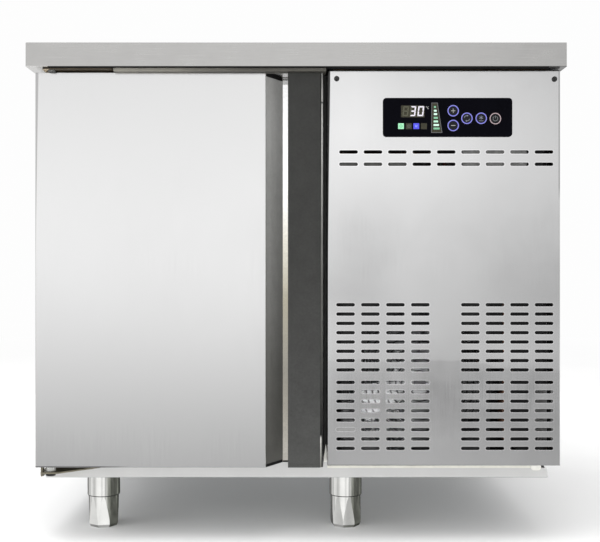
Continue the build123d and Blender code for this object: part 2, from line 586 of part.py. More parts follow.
with BuildPart() as evaporator_cover:
    block(-380, -12, 200, CAV_Y1, 522, 745)
    fillet(evaporator_cover.faces().sort_by(Axis.Y)[0].edges(), 3)
    block(-379, -13, 201, CAV_Y1 + 1, 523, 744, Mode.SUBTRACT)
    rod_y(EVF_X, EVF_Z, 190, 210, 56, Mode.SUBTRACT)
    with BuildSketch(Plane.XZ.offset(-195)):
        with Locations((-255, 640)):
            with GridLocations(46, 14, 4, 11):
                SlotOverall(36, 6)
    extrude(amount=-12, mode=Mode.SUBTRACT)
    rod_x(SUCTION_Y, SUCTION_Z, -16, -8, 5.4, Mode.SUBTRACT)
    rod_x(DRAIN_Y, DRAIN_Z, -16, -8, 8.3, Mode.SUBTRACT)
    # finger guard bars across the fan opening
    for gz in (-33.0, -11.0, 11.0, 33.0):
        half = math.sqrt(56.5 ** 2 - gz ** 2)
        block(EVF_X - half, EVF_X + half, 200, 201, EVF_Z + gz - 1.5, EVF_Z + gz + 1.5)
evaporator_cover.part.label = "evaporator_cover"
export_step(evaporator_cover.part, "parts/evaporator_cover.step")

with BuildPart() as evaporator_fan_motor:
    rod_y(EVF_X, EVF_Z, 232, 276, 25)
    fillet(evaporator_fan_motor.edges().filter_by(GeomType.CIRCLE), 3)
    rod_y(EVF_X, EVF_Z, 228, 240, 9)
    block(EVF_X - 12, EVF_X + 12, 274, 277, EVF_Z - 60, EVF_Z + 60)
    block(EVF_X - 12, EVF_X + 12, 274, CAV_Y1, EVF_Z - 60, EVF_Z - 57)
    block(EVF_X - 12, EVF_X + 12, 274, CAV_Y1, EVF_Z + 57, EVF_Z + 60)
    rod_y(EVF_X, EVF_Z, 220, 270, 3.06, Mode.SUBTRACT)
evaporator_fan_motor.part.label = "evaporator_fan_motor"
export_step(evaporator_fan_motor.part, "parts/evaporator_fan_motor.step")

with BuildPart() as evaporator_blade:
    with BuildSketch(Plane.XY):
        with BuildLine():
            Polyline((12, -7), (42, -17), (52, -9), (52, 10), (44, 18), (12, 8), close=True)
        make_face()
        fillet(vertices().sort_by(Axis.X)[2:6], 4.5)
    extrude(amount=0.7, both=True)

with BuildPart() as evaporator_fan_rotor:
    rod_y(EVF_X, EVF_Z, 206, 224, 16)
    fillet(evaporator_fan_rotor.edges().filter_by(GeomType.CIRCLE).sort_by(Axis.Y)[0], 3)
    rod_y(EVF_X, EVF_Z, 220, 262, 3.0)
    for i in range(5):
        add(Location((EVF_X, 215, EVF_Z)) * Location((0, 0, 0), (0, 72 * i + 5, 0))
            * Location((0, 0, 0), (62, 0, 0)) * evaporator_blade.part)
evaporator_fan_rotor.part.label = "evaporator_fan_rotor"
export_step(evaporator_fan_rotor.part, "parts/evaporator_fan_rotor.step")

# ---------------------------------------------------------------------------
# Shelving
# ---------------------------------------------------------------------------
PIL_Y = (-205.0, 160.0)
SHELF_Z = {"lower_shelf": 310.0, "upper_shelf": 460.0}
SLOT_ZS = [200.0 + 25.0 * i for i in range(21)]
with BuildPart() as shelf_pilasters:
    for py in PIL_Y:
        for side in (-1, 1):
            wall = CAV_X0 if side < 0 else CAV_X1
            a, b = sorted((wall, wall - side * 6))
            block(a, b, py - 10, py + 10, 178, 740)
            c, d = sorted((wall, wall - side * 4.8))
            block(c, d, py - 8.8, py + 8.8, 177, 741, Mode.SUBTRACT)
    with BuildSketch(Plane.YZ.offset(-390)):
        with Locations([(py, sz) for py in PIL_Y for sz in SLOT_ZS]):
            Rectangle(8, 4)
    extrude(amount=390, mode=Mode.SUBTRACT)
shelf_pilasters.part.label = "shelf_pilasters"
export_step(shelf_pilasters.part, "parts/shelf_pilasters.step")

ROD_R = 3.0
with BuildPart() as shelf_clips:
    for sz in SHELF_Z.values():
        top = sz - ROD_R - 0.3
        for py in PIL_Y:
            for side in (-1, 1):
                face = CAV_X0 + 6 if side < 0 else CAV_X1 - 6
                a, b = sorted((face, face - side * 9))
                block(a, b, py - 7, py + 7, top - 2, top)
                a, b = sorted((face - side * 8, face - side * 9.5))
                block(a, b, py - 7, py + 7, top - 2, top + 3)
                a, b = sorted((face, face - side * 1.5))
                block(a, b, py - 7, py + 7, top - 14, top)
                a, b = sorted((face + side * 2.5, face))
                slot_z = min(SLOT_ZS, key=lambda v: abs(v - (top - 6)))
                block(a, b, py - 3.6, py + 3.6, slot_z - 1.7, slot_z + 1.7)
shelf_clips.part.label = "shelf_clips"
export_step(shelf_clips.part, "parts/shelf_clips.step")

SHELF_X0, SHELF_X1 = -374.6, -17.4
SHELF_Y0, SHELF_Y1 = -236.0, 270.0

with BuildPart() as lower_shelf:
    zc = SHELF_Z["lower_shelf"]
    with BuildSketch(Plane.XY.offset(zc - ROD_R)):
        with Locations(((SHELF_X0 + SHELF_X1) / 2, (SHELF_Y0 + SHELF_Y1) / 2)):
            RectangleRounded(SHELF_X1 - SHELF_X0 + 6, SHELF_Y1 - SHELF_Y0 + 6, 12)
            RectangleRounded(SHELF_X1 - SHELF_X0 - 6, SHELF_Y1 - SHELF_Y0 - 6, 6, mode=Mode.SUBTRACT)
    extrude(amount=2 * ROD_R)
    fillet(lower_shelf.edges().group_by(Axis.Z)[0] + lower_shelf.edges().group_by(Axis.Z)[-1], 2.4)
    for i in range(21):
        wx = SHELF_X0 + 17.86 * i
        if 0 < i < 20:
            rod_y(wx, zc + 1.0, SHELF_Y0 - 1, SHELF_Y1 + 1, 1.6)
    for cy in (-110.0, 0.0, 110.0):
        rod_x(cy, zc - 2.2, SHELF_X0 - 1, SHELF_X1 + 1, 2.4)
lower_shelf.part.label = "lower_shelf"
export_step(lower_shelf.part, "parts/lower_shelf.step")

with BuildPart() as upper_shelf:
    add(lower_shelf.part.moved(Location((0, 0, SHELF_Z["upper_shelf"] - SHELF_Z["lower_shelf"]))))
upper_shelf.part.label = "upper_shelf"
export_step(upper_shelf.part, "parts/upper_shelf.step")

with BuildPart() as temperature_probe:
    rod_y(-17, 640, 60, 108, 3)
    fillet(temperature_probe.edges().filter_by(GeomType.CIRCLE), 2)
    block(-20, CAV_X1, 78, 88, 636, 644)
temperature_probe.part.label = "temperature_probe"
export_step(temperature_probe.part, "parts/temperature_probe.step")

# ---------------------------------------------------------------------------
# Hinges (cabinet side)
# ---------------------------------------------------------------------------
with BuildPart() as top_hinge_bracket:
    block(-425.5, -308, -340, -261, 797.0, 799.4)
    block(-425.5, -308, -264, -261, 788.5, 799.4)
    fillet(top_hinge_bracket.edges().filter_by(Axis.Z).group_by(Axis.Y)[0], 5)
    rod_z(PIN_X, PIN_Y, 790, 805, PIN_R + 0.02, Mode.SUBTRACT)
    for sx in HINGE_SCREW_X:
        rod_y(sx, HINGE_SCREW_Z, -266, -259, 2.6, Mode.SUBTRACT)
top_hinge_bracket.part.label = "top_hinge_bracket"
export_step(top_hinge_bracket.part, "parts/top_hinge_bracket.step")

# Triangular plate under the door's corner, with a flange turned up at the back
LOW_SCREW_X = (-408.0, -370.0)
LOW_SCREW_Z = 122.5
with BuildPart() as bottom_hinge_bracket:
    with BuildSketch(Plane.XY.offset(116)):
        with BuildLine():
            Polyline((-435, -318), (-406, -318), (-343, -267), (-435, -267), close=True)
        make_face()
        fillet(vertices().sort_by(Axis.Y)[0:2], 6)
    extrude(amount=2.5)
    block(-435, -346, -269.5, -267, 116, 127)
    # left edge folded down, with a stop lug that stands up beside the pin
    with BuildSketch(Plane.YZ.offset(-435)):
        with BuildLine():
            Polyline((-312, 118), (-312, 112.5), (-309.5, 110), (-296, 110), (-286, 114), (-270, 114), (-270, 118),
                     (-300, 118), (-300, 124.5), (-301.5, 126), (-309.5, 126), (-311, 124.5), (-311, 118), close=True)
        make_face()
    extrude(amount=3.5)
    rod_z(PIN_X, PIN_Y, 110, 122, PIN_R + 0.02, Mode.SUBTRACT)
    for sx in LOW_SCREW_X:
        rod_y(sx, LOW_SCREW_Z, -272, -265, 2.1, Mode.SUBTRACT)
bottom_hinge_bracket.part.label = "bottom_hinge_bracket"
export_step(bottom_hinge_bracket.part, "parts/bottom_hinge_bracket.step")

with BuildPart() as hinge_pins:
    rod_z(PIN_X, PIN_Y, 771, 799.4, PIN_R)
    rod_z(PIN_X, PIN_Y, 112, 148, PIN_R)
    # round head under the plate
    rod_z(PIN_X, PIN_Y, 110, 116, 8.4)
    fillet(hinge_pins.edges().filter_by(GeomType.CIRCLE).group_by(Axis.Z)[0], 2)
hinge_pins.part.label = "hinge_pins"
export_step(hinge_pins.part, "parts/hinge_pins.step")

with BuildPart() as hinge_screws:
    for sx in HINGE_SCREW_X:
        rod_y(sx, HINGE_SCREW_Z, -266.4, -264, 3.8)
        rod_y(sx, HINGE_SCREW_Z, -265, -246, 2.5)
    for sx in LOW_SCREW_X:
        rod_y(sx, LOW_SCREW_Z, -271.9, -269.5, 3.6)
        rod_y(sx, LOW_SCREW_Z, -271, -267, 2.0)
hinge_screws.part.label = "hinge_screws"
export_step(hinge_screws.part, "parts/hinge_screws.step")

# ---------------------------------------------------------------------------
# Legs and feet
# ---------------------------------------------------------------------------
with BuildPart() as leg_sleeves:
    for lx, ly in FOOT_XY.values():
        block(lx - 40, lx + 40, ly - 40, ly + 40, BASE_Z - 3, BASE_Z)
        rod_z(lx, ly, SLEEVE_Z0, BASE_Z - 2, SLEEVE_R)
    for lx, ly in FOOT_XY.values():
        rod_z(lx, ly, SLEEVE_Z0 - 1, BASE_Z - 3, SLEEVE_BORE, Mode.SUBTRACT)
leg_sleeves.part.label = "leg_sleeves"
export_step(leg_sleeves.part, "parts/leg_sleeves.step")

# Each foot: a round shank that winds into the sleeve, and below it a smooth
# change from the round to eight flats, with a bevelled lower edge.
COS22 = math.cos(math.radians(22.5))
FLAT_TURN = -11.5
with BuildPart() as foot_blank:
    with BuildSketch(Plane.XY.offset(5)):
        RegularPolygon(25.2 / COS22, 8, rotation=FLAT_TURN)
    with BuildSketch(Plane.XY.offset(55)):
        RegularPolygon(26.95 / COS22, 8, rotation=FLAT_TURN)
    loft()
    with BuildSketch(Plane.XY):
        RegularPolygon(22.8 / COS22, 8, rotation=FLAT_TURN)
    with BuildSketch(Plane.XY.offset(5)):
        RegularPolygon(25.2 / COS22, 8, rotation=FLAT_TURN)
    loft()
    with BuildSketch(Plane.XZ):
        with BuildLine():
            Polyline((0, 0), (27.6, 0), (27.6, 5), (26.93, 35), (26.93, 55), (0, 55), close=True)
        make_face()
    revolve(axis=Axis.Z, mode=Mode.INTERSECT)
    rod_z(0, 0, 54.5, 94.5, 26.93)

with BuildPart() as foot_front_left:
    add(foot_blank.part.moved(Location((*FOOT_XY["foot_front_left"], 0))))
foot_front_left.part.label = "foot_front_left"
export_step(foot_front_left.part, "parts/foot_front_left.step")

with BuildPart() as foot_front_right:
    add(foot_blank.part.moved(Location((*FOOT_XY["foot_front_right"], 0))))
foot_front_right.part.label = "foot_front_right"
export_step(foot_front_right.part, "parts/foot_front_right.step")

with BuildPart() as foot_rear_left:
    add(foot_blank.part.moved(Location((*FOOT_XY["foot_rear_left"], 0))))
foot_rear_left.part.label = "foot_rear_left"
export_step(foot_rear_left.part, "parts/foot_rear_left.step")

with BuildPart() as foot_rear_right:
    add(foot_blank.part.moved(Location((*FOOT_XY["foot_rear_right"], 0))))
foot_rear_right.part.label = "foot_rear_right"
export_step(foot_rear_right.part, "parts/foot_rear_right.step")

# ---------------------------------------------------------------------------
# Cable gland in the rear grille
# ---------------------------------------------------------------------------
with BuildPart() as cable_gland:
    rod_y(GLAND_X, GLAND_Z, CAB_REAR - 12, CAB_REAR + 7, 8.0)
    with BuildSketch(Plane.XZ.offset(-CAB_REAR)):
        with Locations((GLAND_X, GLAND_Z)):
            RegularPolygon(12.5, 6)
    extrude(amount=-4)
    with BuildSketch(Plane.XZ.offset(-(CAB_REAR - 7))):
        with Locations((GLAND_X, GLAND_Z)):
            RegularPolygon(12.5, 6)
    extrude(amount=-6)
    rod_y(GLAND_X, GLAND_Z, CAB_REAR - 14, CAB_REAR + 9, 4.5, Mode.SUBTRACT)
cable_gland.part.label = "cable_gland"
export_step(cable_gland.part, "parts/cable_gland.step")

# ---------------------------------------------------------------------------
# Door
# ---------------------------------------------------------------------------
# Section of the recess wall, in plan: the slanted wall runs from the front skin
# back to the recess floor, and the right wall comes forward behind the grip.
WALL = 1.5
SLANT = math.hypot(RECESS_X1 - RECESS_X0, RECESS_Y - DOOR_FRONT)
NX = -(RECESS_Y - DOOR_FRONT) / SLANT * WALL     # offset of the wall's hidden face
NY = (RECESS_X1 - RECESS_X0) / SLANT * WALL
SLOPE = (RECESS_X1 - RECESS_X0) / (RECESS_Y - DOOR_FRONT)
SKIN_IN = DOOR_FRONT + SHEET                     # inner face of the front skin
VIS_X = RECESS_X0 + SLOPE * (SKIN_IN - DOOR_FRONT)
HID_X = RECESS_X0 + NX + SLOPE * (SKIN_IN - DOOR_FRONT - NY)
HID_REAR_X = RECESS_X0 + NX + SLOPE * (RECESS_Y + WALL - DOOR_FRONT - NY)
CH_X1 = 43.0                                     # outer right face of the channel

with BuildPart() as door_skin:
    with BuildSketch(Plane.XY.offset(DOOR_Z0)):
        with BuildLine():
            Polyline((DOOR_X0, DOOR_FRONT), (RECESS_X0, DOOR_FRONT), (VIS_X, SKIN_IN), (HID_X, SKIN_IN),
                     (HID_REAR_X, RECESS_Y + WALL), (CH_X1, RECESS_Y + WALL), (CH_X1, DOOR_BACK - 1),
                     (DOOR_X0, DOOR_BACK - 1), close=True)
        make_face()
    extrude(amount=DOOR_Z1 - DOOR_Z0)
    fillet(door_skin.edges().filter_by(Axis.Z).filter_by_position(Axis.X, DOOR_X0 - 0.1, DOOR_X0 + 0.1)
           .filter_by_position(Axis.Y, DOOR_FRONT - 0.1, DOOR_FRONT + 0.1), 2.5)
    with BuildSketch(Plane.XY.offset(DOOR_Z0 + SHEET)):
        with BuildLine():
            Polyline((DOOR_X0 + SHEET, SKIN_IN), (HID_X, SKIN_IN),
                     (HID_REAR_X, RECESS_Y + WALL), (CH_X1 + 1, RECESS_Y + WALL), (CH_X1 + 1, DOOR_BACK + 1),
                     (DOOR_X0 + SHEET, DOOR_BACK + 1), close=True)
        make_face()
    extrude(amount=DOOR_Z1 - DOOR_Z0 - 2 * SHEET, mode=Mode.SUBTRACT)
    rod_z(PIN_X, PIN_Y, DOOR_Z0 - 1, DOOR_Z1 + 1, 8.05, Mode.SUBTRACT)
door_skin.part.label = "door_skin"
export_step(door_skin.part, "parts/door_skin.step")

with BuildPart() as door_foam:
    with BuildSketch(Plane.XY.offset(DOOR_Z0 + SHEET)):
        with BuildLine():
            Polyline((DOOR_X0 + SHEET, SKIN_IN), (HID_X, SKIN_IN),
                     (HID_REAR_X, RECESS_Y + WALL), (CH_X1, RECESS_Y + WALL), (CH_X1, DOOR_BACK - 1),
                     (DOOR_X0 + SHEET, DOOR_BACK - 1), close=True)
        make_face()
    extrude(amount=DOOR_Z1 - DOOR_Z0 - 2 * SHEET)
    fillet(door_foam.edges().filter_by(Axis.Z).filter_by_position(Axis.X, -439.1, -438.9)
           .filter_by_position(Axis.Y, SKIN_IN - 0.1, SKIN_IN + 0.1), 1.5)
    # raised middle of the inner panel
    block(-369, -23, DOOR_BACK - 2, DOOR_BACK + 6, 178, 741)
    rod_z(PIN_X, PIN_Y, DOOR_Z0, 150.1, 8.05, Mode.SUBTRACT)
    rod_z(PIN_X, PIN_Y, 770.9, DOOR_Z1, 8.05, Mode.SUBTRACT)
door_foam.part.label = "door_foam"
export_step(door_foam.part, "parts/door_foam.step")

with BuildPart() as door_inner_panel:
    block(DOOR_X0, CH_X1, DOOR_BACK - 1, DOOR_BACK, DOOR_Z0, DOOR_Z1)
    block(-370, -22, DOOR_BACK - 1, DOOR_BACK + 7, 177, 742)
    fillet(door_inner_panel.faces().sort_by(Axis.Y)[-1].edges(), 3)
    block(-369, -23, DOOR_BACK - 2, DOOR_BACK + 6, 178, 741, Mode.SUBTRACT)
door_inner_panel.part.label = "door_inner_panel"
export_step(door_inner_panel.part, "parts/door_inner_panel.step")

# Magnetic gasket: a frame 16 wide, with a soft bellows that meets the carcass
GK_X0, GK_X1, GK_Z0, GK_Z1 = -418.0, 38.0, 136.0, 787.0
with BuildPart() as door_gasket:
    with BuildSketch(Plane.XZ.offset(-DOOR_BACK)):
        with Locations(((GK_X0 + GK_X1) / 2, (GK_Z0 + GK_Z1) / 2)):
            Rectangle(GK_X1 - GK_X0, GK_Z1 - GK_Z0)
            Rectangle(GK_X1 - GK_X0 - 32, GK_Z1 - GK_Z0 - 32, mode=Mode.SUBTRACT)
    extrude(amount=-3)
    with BuildSketch(Plane.XZ.offset(-DOOR_BACK - 3)):
        with Locations(((GK_X0 + GK_X1) / 2, (GK_Z0 + GK_Z1) / 2)):
            Rectangle(GK_X1 - GK_X0 - 6, GK_Z1 - GK_Z0 - 6)
            Rectangle(GK_X1 - GK_X0 - 26, GK_Z1 - GK_Z0 - 26, mode=Mode.SUBTRACT)
    extrude(amount=-1.6)
    with BuildSketch(Plane.XZ.offset(-DOOR_BACK - 4.6)):
        with Locations(((GK_X0 + GK_X1) / 2, (GK_Z0 + GK_Z1) / 2)):
            Rectangle(GK_X1 - GK_X0 - 1, GK_Z1 - GK_Z0 - 1)
            Rectangle(GK_X1 - GK_X0 - 30, GK_Z1 - GK_Z0 - 30, mode=Mode.SUBTRACT)
    extrude(amount=-6.2)
    fillet(door_gasket.faces().sort_by(Axis.Y)[-1].edges(), 1.4)
door_gasket.part.label = "door_gasket"
export_step(door_gasket.part, "parts/door_gasket.step")

with BuildPart() as handle_channel:
    with BuildSketch(Plane.XY.offset(DOOR_Z0)):
        with BuildLine():
            Polyline((VIS_X, SKIN_IN), (RECESS_X1, RECESS_Y), (CH_X1 - WALL, RECESS_Y), (CH_X1 - WALL, -322.5),
                     (CH_X1, -322.5), (CH_X1, RECESS_Y + WALL), (HID_REAR_X, RECESS_Y + WALL),
                     (HID_X, SKIN_IN), close=True)
        make_face()
    extrude(amount=DOOR_Z1 - DOOR_Z0)
handle_channel.part.label = "handle_channel"
export_step(handle_channel.part, "parts/handle_channel.step")

# Dark grip profile: flat front, curled finger edge, bevelled right edge, side wall
with BuildPart() as handle_grip:
    with BuildSketch(Plane.XY.offset(DOOR_Z0)):
        with BuildLine():
            Polyline((GRIP_X0, DOOR_FRONT), (GRIP_X1, DOOR_FRONT), (DOOR_X1, DOOR_FRONT + 5),
                     (DOOR_X1, DOOR_BACK), (CH_X1, DOOR_BACK), (CH_X1, DOOR_FRONT + 5.5),
                     (CH_X1 - WALL, DOOR_FRONT + 5.5), (38.6, DOOR_FRONT + 3), (GRIP_X0 + 2.5, DOOR_FRONT + 3),
                     (GRIP_X0 + 2.5, DOOR_FRONT + 9), (GRIP_X0, DOOR_FRONT + 9), close=True)
        make_face()
    extrude(amount=DOOR_Z1 - DOOR_Z0)
    fillet(handle_grip.edges().filter_by(Axis.Z).filter_by_position(Axis.X, GRIP_X0 - 0.1, GRIP_X0 + 0.1)
           .filter_by_position(Axis.Y, DOOR_FRONT - 0.1, DOOR_FRONT + 0.1), 1.2)
    # low lip across the foot of the grip
    block(GRIP_X0, GRIP_X1, DOOR_FRONT - 0.8, DOOR_FRONT + 2, DOOR_Z0, DOOR_Z0 + 5)
handle_grip.part.label = "handle_grip"
export_step(handle_grip.part, "parts/handle_grip.step")

with BuildPart() as hinge_bushes:
    # lower bush: wide collar under the door that rides on the bracket
    rod_z(PIN_X, PIN_Y, 118.8, DOOR_Z0, 8.6)
    rod_z(PIN_X, PIN_Y, DOOR_Z0, 150, 8.0)
    # upper bush
    rod_z(PIN_X, PIN_Y, DOOR_Z1, 796.0, 10.5)
    rod_z(PIN_X, PIN_Y, 771, DOOR_Z1, 8.0)
    rod_z(PIN_X, PIN_Y, 110, 800, BUSH_BORE, Mode.SUBTRACT)
hinge_bushes.part.label = "hinge_bushes"
export_step(hinge_bushes.part, "parts/hinge_bushes.step")
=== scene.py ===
import json
import math
import random

import bmesh
import bpy
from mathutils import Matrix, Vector


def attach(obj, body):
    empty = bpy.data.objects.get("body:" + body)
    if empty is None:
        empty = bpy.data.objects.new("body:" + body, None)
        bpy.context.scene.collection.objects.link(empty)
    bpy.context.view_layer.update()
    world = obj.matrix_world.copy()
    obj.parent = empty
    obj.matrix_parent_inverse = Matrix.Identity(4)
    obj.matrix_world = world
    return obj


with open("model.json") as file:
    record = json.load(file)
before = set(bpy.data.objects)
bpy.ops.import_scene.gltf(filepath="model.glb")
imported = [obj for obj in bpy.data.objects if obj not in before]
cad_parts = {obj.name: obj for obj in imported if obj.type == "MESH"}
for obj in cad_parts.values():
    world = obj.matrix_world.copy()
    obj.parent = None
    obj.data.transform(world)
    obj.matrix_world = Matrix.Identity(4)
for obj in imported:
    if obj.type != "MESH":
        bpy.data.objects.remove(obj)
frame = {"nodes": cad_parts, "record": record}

scene = bpy.context.scene
nodes = frame["nodes"]
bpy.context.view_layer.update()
MM = 0.001
SLOT_L, SLOT_H = 31.2, 5.6       # slots of the machine panel, mm
CAB_BACK, CAB_SIDE = 340.0, 440.0    # outer faces of the rear grille and the machine side panel, mm

# ---------------------------------------------------------------------------
# Camera: level, at the height of the counter's middle, 1.6 m from its front
# ---------------------------------------------------------------------------
cam_data = bpy.data.cameras.new("view_camera")
cam_data.sensor_width = 36.0
cam_data.lens = 57.78
cam_data.clip_start = 0.05
cam_data.clip_end = 60.0
cam = bpy.data.objects.new("view_camera", cam_data)
cam.location = (0.0063, -1.95, 0.46)
cam.rotation_euler = (math.radians(90), 0, 0)
scene.collection.objects.link(cam)
scene.camera = cam
scene.view_settings.view_transform = "Standard"


# ---------------------------------------------------------------------------
# Node helpers
# ---------------------------------------------------------------------------
class Tree:
    """Small wrapper that adds nodes and links in one call."""

    def __init__(self, tree):
        self.t = tree
        tree.nodes.clear()

    def add(self, kind, **props):
        n = self.t.nodes.new(kind)
        for k, v in props.items():
            setattr(n, k, v)
        return n

    def put(self, sock, value):
        if isinstance(value, bpy.types.NodeSocket):
            self.t.links.new(value, sock)
        else:
            sock.default_value = value

    def math(self, op, a, b=None, c=None, clamp=False):
        n = self.add("ShaderNodeMath", operation=op, use_clamp=clamp)
        self.put(n.inputs[0], a)
        if b is not None:
            self.put(n.inputs[1], b)
        if c is not None:
            self.put(n.inputs[2], c)
        return n.outputs[0]

    def remap(self, v, a, b, c, d, kind="LINEAR"):
        n = self.add("ShaderNodeMapRange", interpolation_type=kind)
        self.put(n.inputs["Value"], v)
        self.put(n.inputs["From Min"], a)
        self.put(n.inputs["From Max"], b)
        self.put(n.inputs["To Min"], c)
        self.put(n.inputs["To Max"], d)
        return n.outputs["Result"]

    def mix(self, fac, a, b, kind="MIX"):
        n = self.add("ShaderNodeMix", data_type="RGBA", blend_type=kind)
        self.put(n.inputs["Factor"], fac)
        self.put(n.inputs[6], a)
        self.put(n.inputs[7], b)
        return n.outputs[2]

    def mixf(self, fac, a, b):
        n = self.add("ShaderNodeMix", data_type="FLOAT")
        self.put(n.inputs["Factor"], fac)
        self.put(n.inputs[2], a)
        self.put(n.inputs[3], b)
        return n.outputs[0]

    def ramp(self, fac, stops, kind="LINEAR"):
        n = self.add("ShaderNodeValToRGB")
        cr = n.color_ramp
        cr.interpolation = kind
        while len(cr.elements) > 1:
            cr.elements.remove(cr.elements[-1])
        for i, (p, c) in enumerate(stops):
            e = cr.elements[0] if i == 0 else cr.elements.new(p)
            e.position = p
            e.color = (c, c, c, 1) if isinstance(c, (int, float)) else (*c, 1)
        self.put(n.inputs[0], fac)
        return n.outputs[0]

    def noise(self, vec, scale, detail=3.0, rough=0.5, distortion=0.0):
        n = self.add("ShaderNodeTexNoise")
        self.put(n.inputs["Vector"], vec)
        n.inputs["Scale"].default_value = scale
        n.inputs["Detail"].default_value = detail
        n.inputs["Roughness"].default_value = rough
        n.inputs["Distortion"].default_value = distortion
        return n.outputs["Fac"]

    def scaled(self, vec, sx, sy, sz, loc=(0, 0, 0), rot=(0, 0, 0)):
        n = self.add("ShaderNodeMapping")
        self.put(n.inputs["Vector"], vec)
        n.inputs["Scale"].default_value = (sx, sy, sz)
        n.inputs["Location"].default_value = loc
        n.inputs["Rotation"].default_value = rot
        return n.outputs[0]


GRAIN = {"x": (14, 900, 900), "y": (900, 14, 900), "z": (900, 900, 14)}


def surface(name, color, rough, metal=0.0, grain=None, grain_amt=0.03, mottle=9.0, mottle_amt=0.03,
            rough_var=0.04, wave=None, fine=None, edge=0.0, edge_gain=0.25, spec=0.5, coat=0.0,
            dust=0.0, dust_color=(0.5, 0.49, 0.47)):
    """Procedural surface: cloudy colour, optional grain, waviness, fine bump and worn edges."""
    m = bpy.data.materials.new(name)
    m.use_nodes = True
    t = Tree(m.node_tree)
    out = t.add("ShaderNodeOutputMaterial")
    b = t.add("ShaderNodeBsdfPrincipled")
    t.put(out.inputs["Surface"], b.outputs[0])
    b.inputs["Metallic"].default_value = metal
    b.inputs["Specular IOR Level"].default_value = spec
    b.inputs["Coat Weight"].default_value = coat
    tc = t.add("ShaderNodeTexCoord").outputs["Object"]
    cloud = t.noise(tc, mottle, 4.0, 0.55, 0.3)
    factor = t.remap(cloud, 0.3, 0.7, 1.0 - mottle_amt, 1.0 + mottle_amt)
    ro = t.remap(cloud, 0.3, 0.7, rough - rough_var, rough + rough_var)
    normal = None
    if edge:
        bev = t.add("ShaderNodeBevel", samples=4)
        bev.inputs["Radius"].default_value = edge * MM
        normal = bev.outputs["Normal"]
    if grain:
        g = t.noise(t.scaled(tc, *GRAIN[grain]), 1.0, 3.0, 0.6)
        factor = t.math("MULTIPLY", factor, t.remap(g, 0.3, 0.7, 1.0 - grain_amt, 1.0 + grain_amt))
        ro = t.math("ADD", ro, t.remap(g, 0.3, 0.7, -0.03, 0.03))
        bp = t.add("ShaderNodeBump")
        bp.inputs["Strength"].default_value = 0.12
        bp.inputs["Distance"].default_value = 0.00004
        t.put(bp.inputs["Height"], g)
        if normal:
            t.put(bp.inputs["Normal"], normal)
        normal = bp.outputs[0]
    if fine:
        f = t.noise(tc, fine[0], 2.0, 0.5)
        bp = t.add("ShaderNodeBump")
        bp.inputs["Strength"].default_value = fine[1]
        bp.inputs["Distance"].default_value = fine[2]
        t.put(bp.inputs["Height"], f)
        if normal:
            t.put(bp.inputs["Normal"], normal)
        normal = bp.outputs[0]
    if wave:
        w = t.noise(tc, wave[0], 2.0, 0.4)
        bp = t.add("ShaderNodeBump")
        bp.inputs["Strength"].default_value = wave[1]
        bp.inputs["Distance"].default_value = wave[2]
        t.put(bp.inputs["Height"], w)
        if normal:
            t.put(bp.inputs["Normal"], normal)
        normal = bp.outputs[0]
    scale = t.add("ShaderNodeVectorMath", operation="SCALE")
    scale.inputs[0].default_value = color
    t.put(scale.inputs["Scale"], factor)
    col = scale.outputs[0]
    if dust:
        d = t.remap(t.noise(tc, 38.0, 5.0, 0.65), 0.45, 0.75, 0.0, dust)
        col = t.mix(d, col, (*dust_color, 1))
    if edge and edge_gain:
        geo = t.add("ShaderNodeNewGeometry")
        dot = t.add("ShaderNodeVectorMath", operation="DOT_PRODUCT")
        t.put(dot.inputs[0], bev.outputs["Normal"])
        t.put(dot.inputs[1], geo.outputs["Normal"])
        worn = t.remap(dot.outputs["Value"], 0.995, 0.86, 0.0, 1.0)
        worn = t.math("MULTIPLY", worn, t.remap(t.noise(tc, 160.0, 3.0), 0.35, 0.6, 0.35, 1.0), clamp=True)
        if edge_gain > 0:
            col = t.mix(t.math("MULTIPLY", worn, edge_gain), col, (0.9, 0.9, 0.89, 1))
        else:
            col = t.mix(t.math("MULTIPLY", worn, -edge_gain), col, (0.03, 0.03, 0.028, 1))
    t.put(b.inputs["Base Color"], col)
    t.put(b.inputs["Roughness"], ro)
    if normal:
        t.put(b.inputs["Normal"], normal)
    return m


def tint(m, build):
    """Multiply a material's base colour by a factor built from the object coordinates."""
    t = Tree.__new__(Tree)
    t.t = m.node_tree
    b = next(n for n in m.node_tree.nodes if n.type == "BSDF_PRINCIPLED")
    old_color = b.inputs["Base Color"].links[0].from_socket
    sp = t.add("ShaderNodeSeparateXYZ")
    t.put(sp.inputs[0], t.add("ShaderNodeTexCoord").outputs["Object"])
    s = t.add("ShaderNodeVectorMath", operation="SCALE")
    t.put(s.inputs[0], old_color)
    t.put(s.inputs["Scale"], build(t, sp.outputs["X"], sp.outputs["Y"], sp.outputs["Z"]))
    t.put(b.inputs["Base Color"], s.outputs[0])
    return m


def glow(name, color, strength, rough=0.3, var=0.08, scale=500.0, base=(0.05, 0.05, 0.05)):
    """Lit graphic: emission with a slight unevenness."""
    m = bpy.data.materials.new(name)
    m.use_nodes = True
    t = Tree(m.node_tree)
    out = t.add("ShaderNodeOutputMaterial")
    b = t.add("ShaderNodeBsdfPrincipled")
    t.put(out.inputs["Surface"], b.outputs[0])
    b.inputs["Base Color"].default_value = (*base, 1)
    b.inputs["Roughness"].default_value = rough
    tc = t.add("ShaderNodeTexCoord").outputs["Object"]
    f = t.remap(t.noise(tc, scale, 2.0), 0.3, 0.7, 1.0 - var, 1.0 + var)
    sc = t.add("ShaderNodeVectorMath", operation="SCALE")
    sc.inputs[0].default_value = color
    t.put(sc.inputs["Scale"], f)
    t.put(b.inputs["Emission Color"], sc.outputs[0])
    b.inputs["Emission Strength"].default_value = strength
    return m


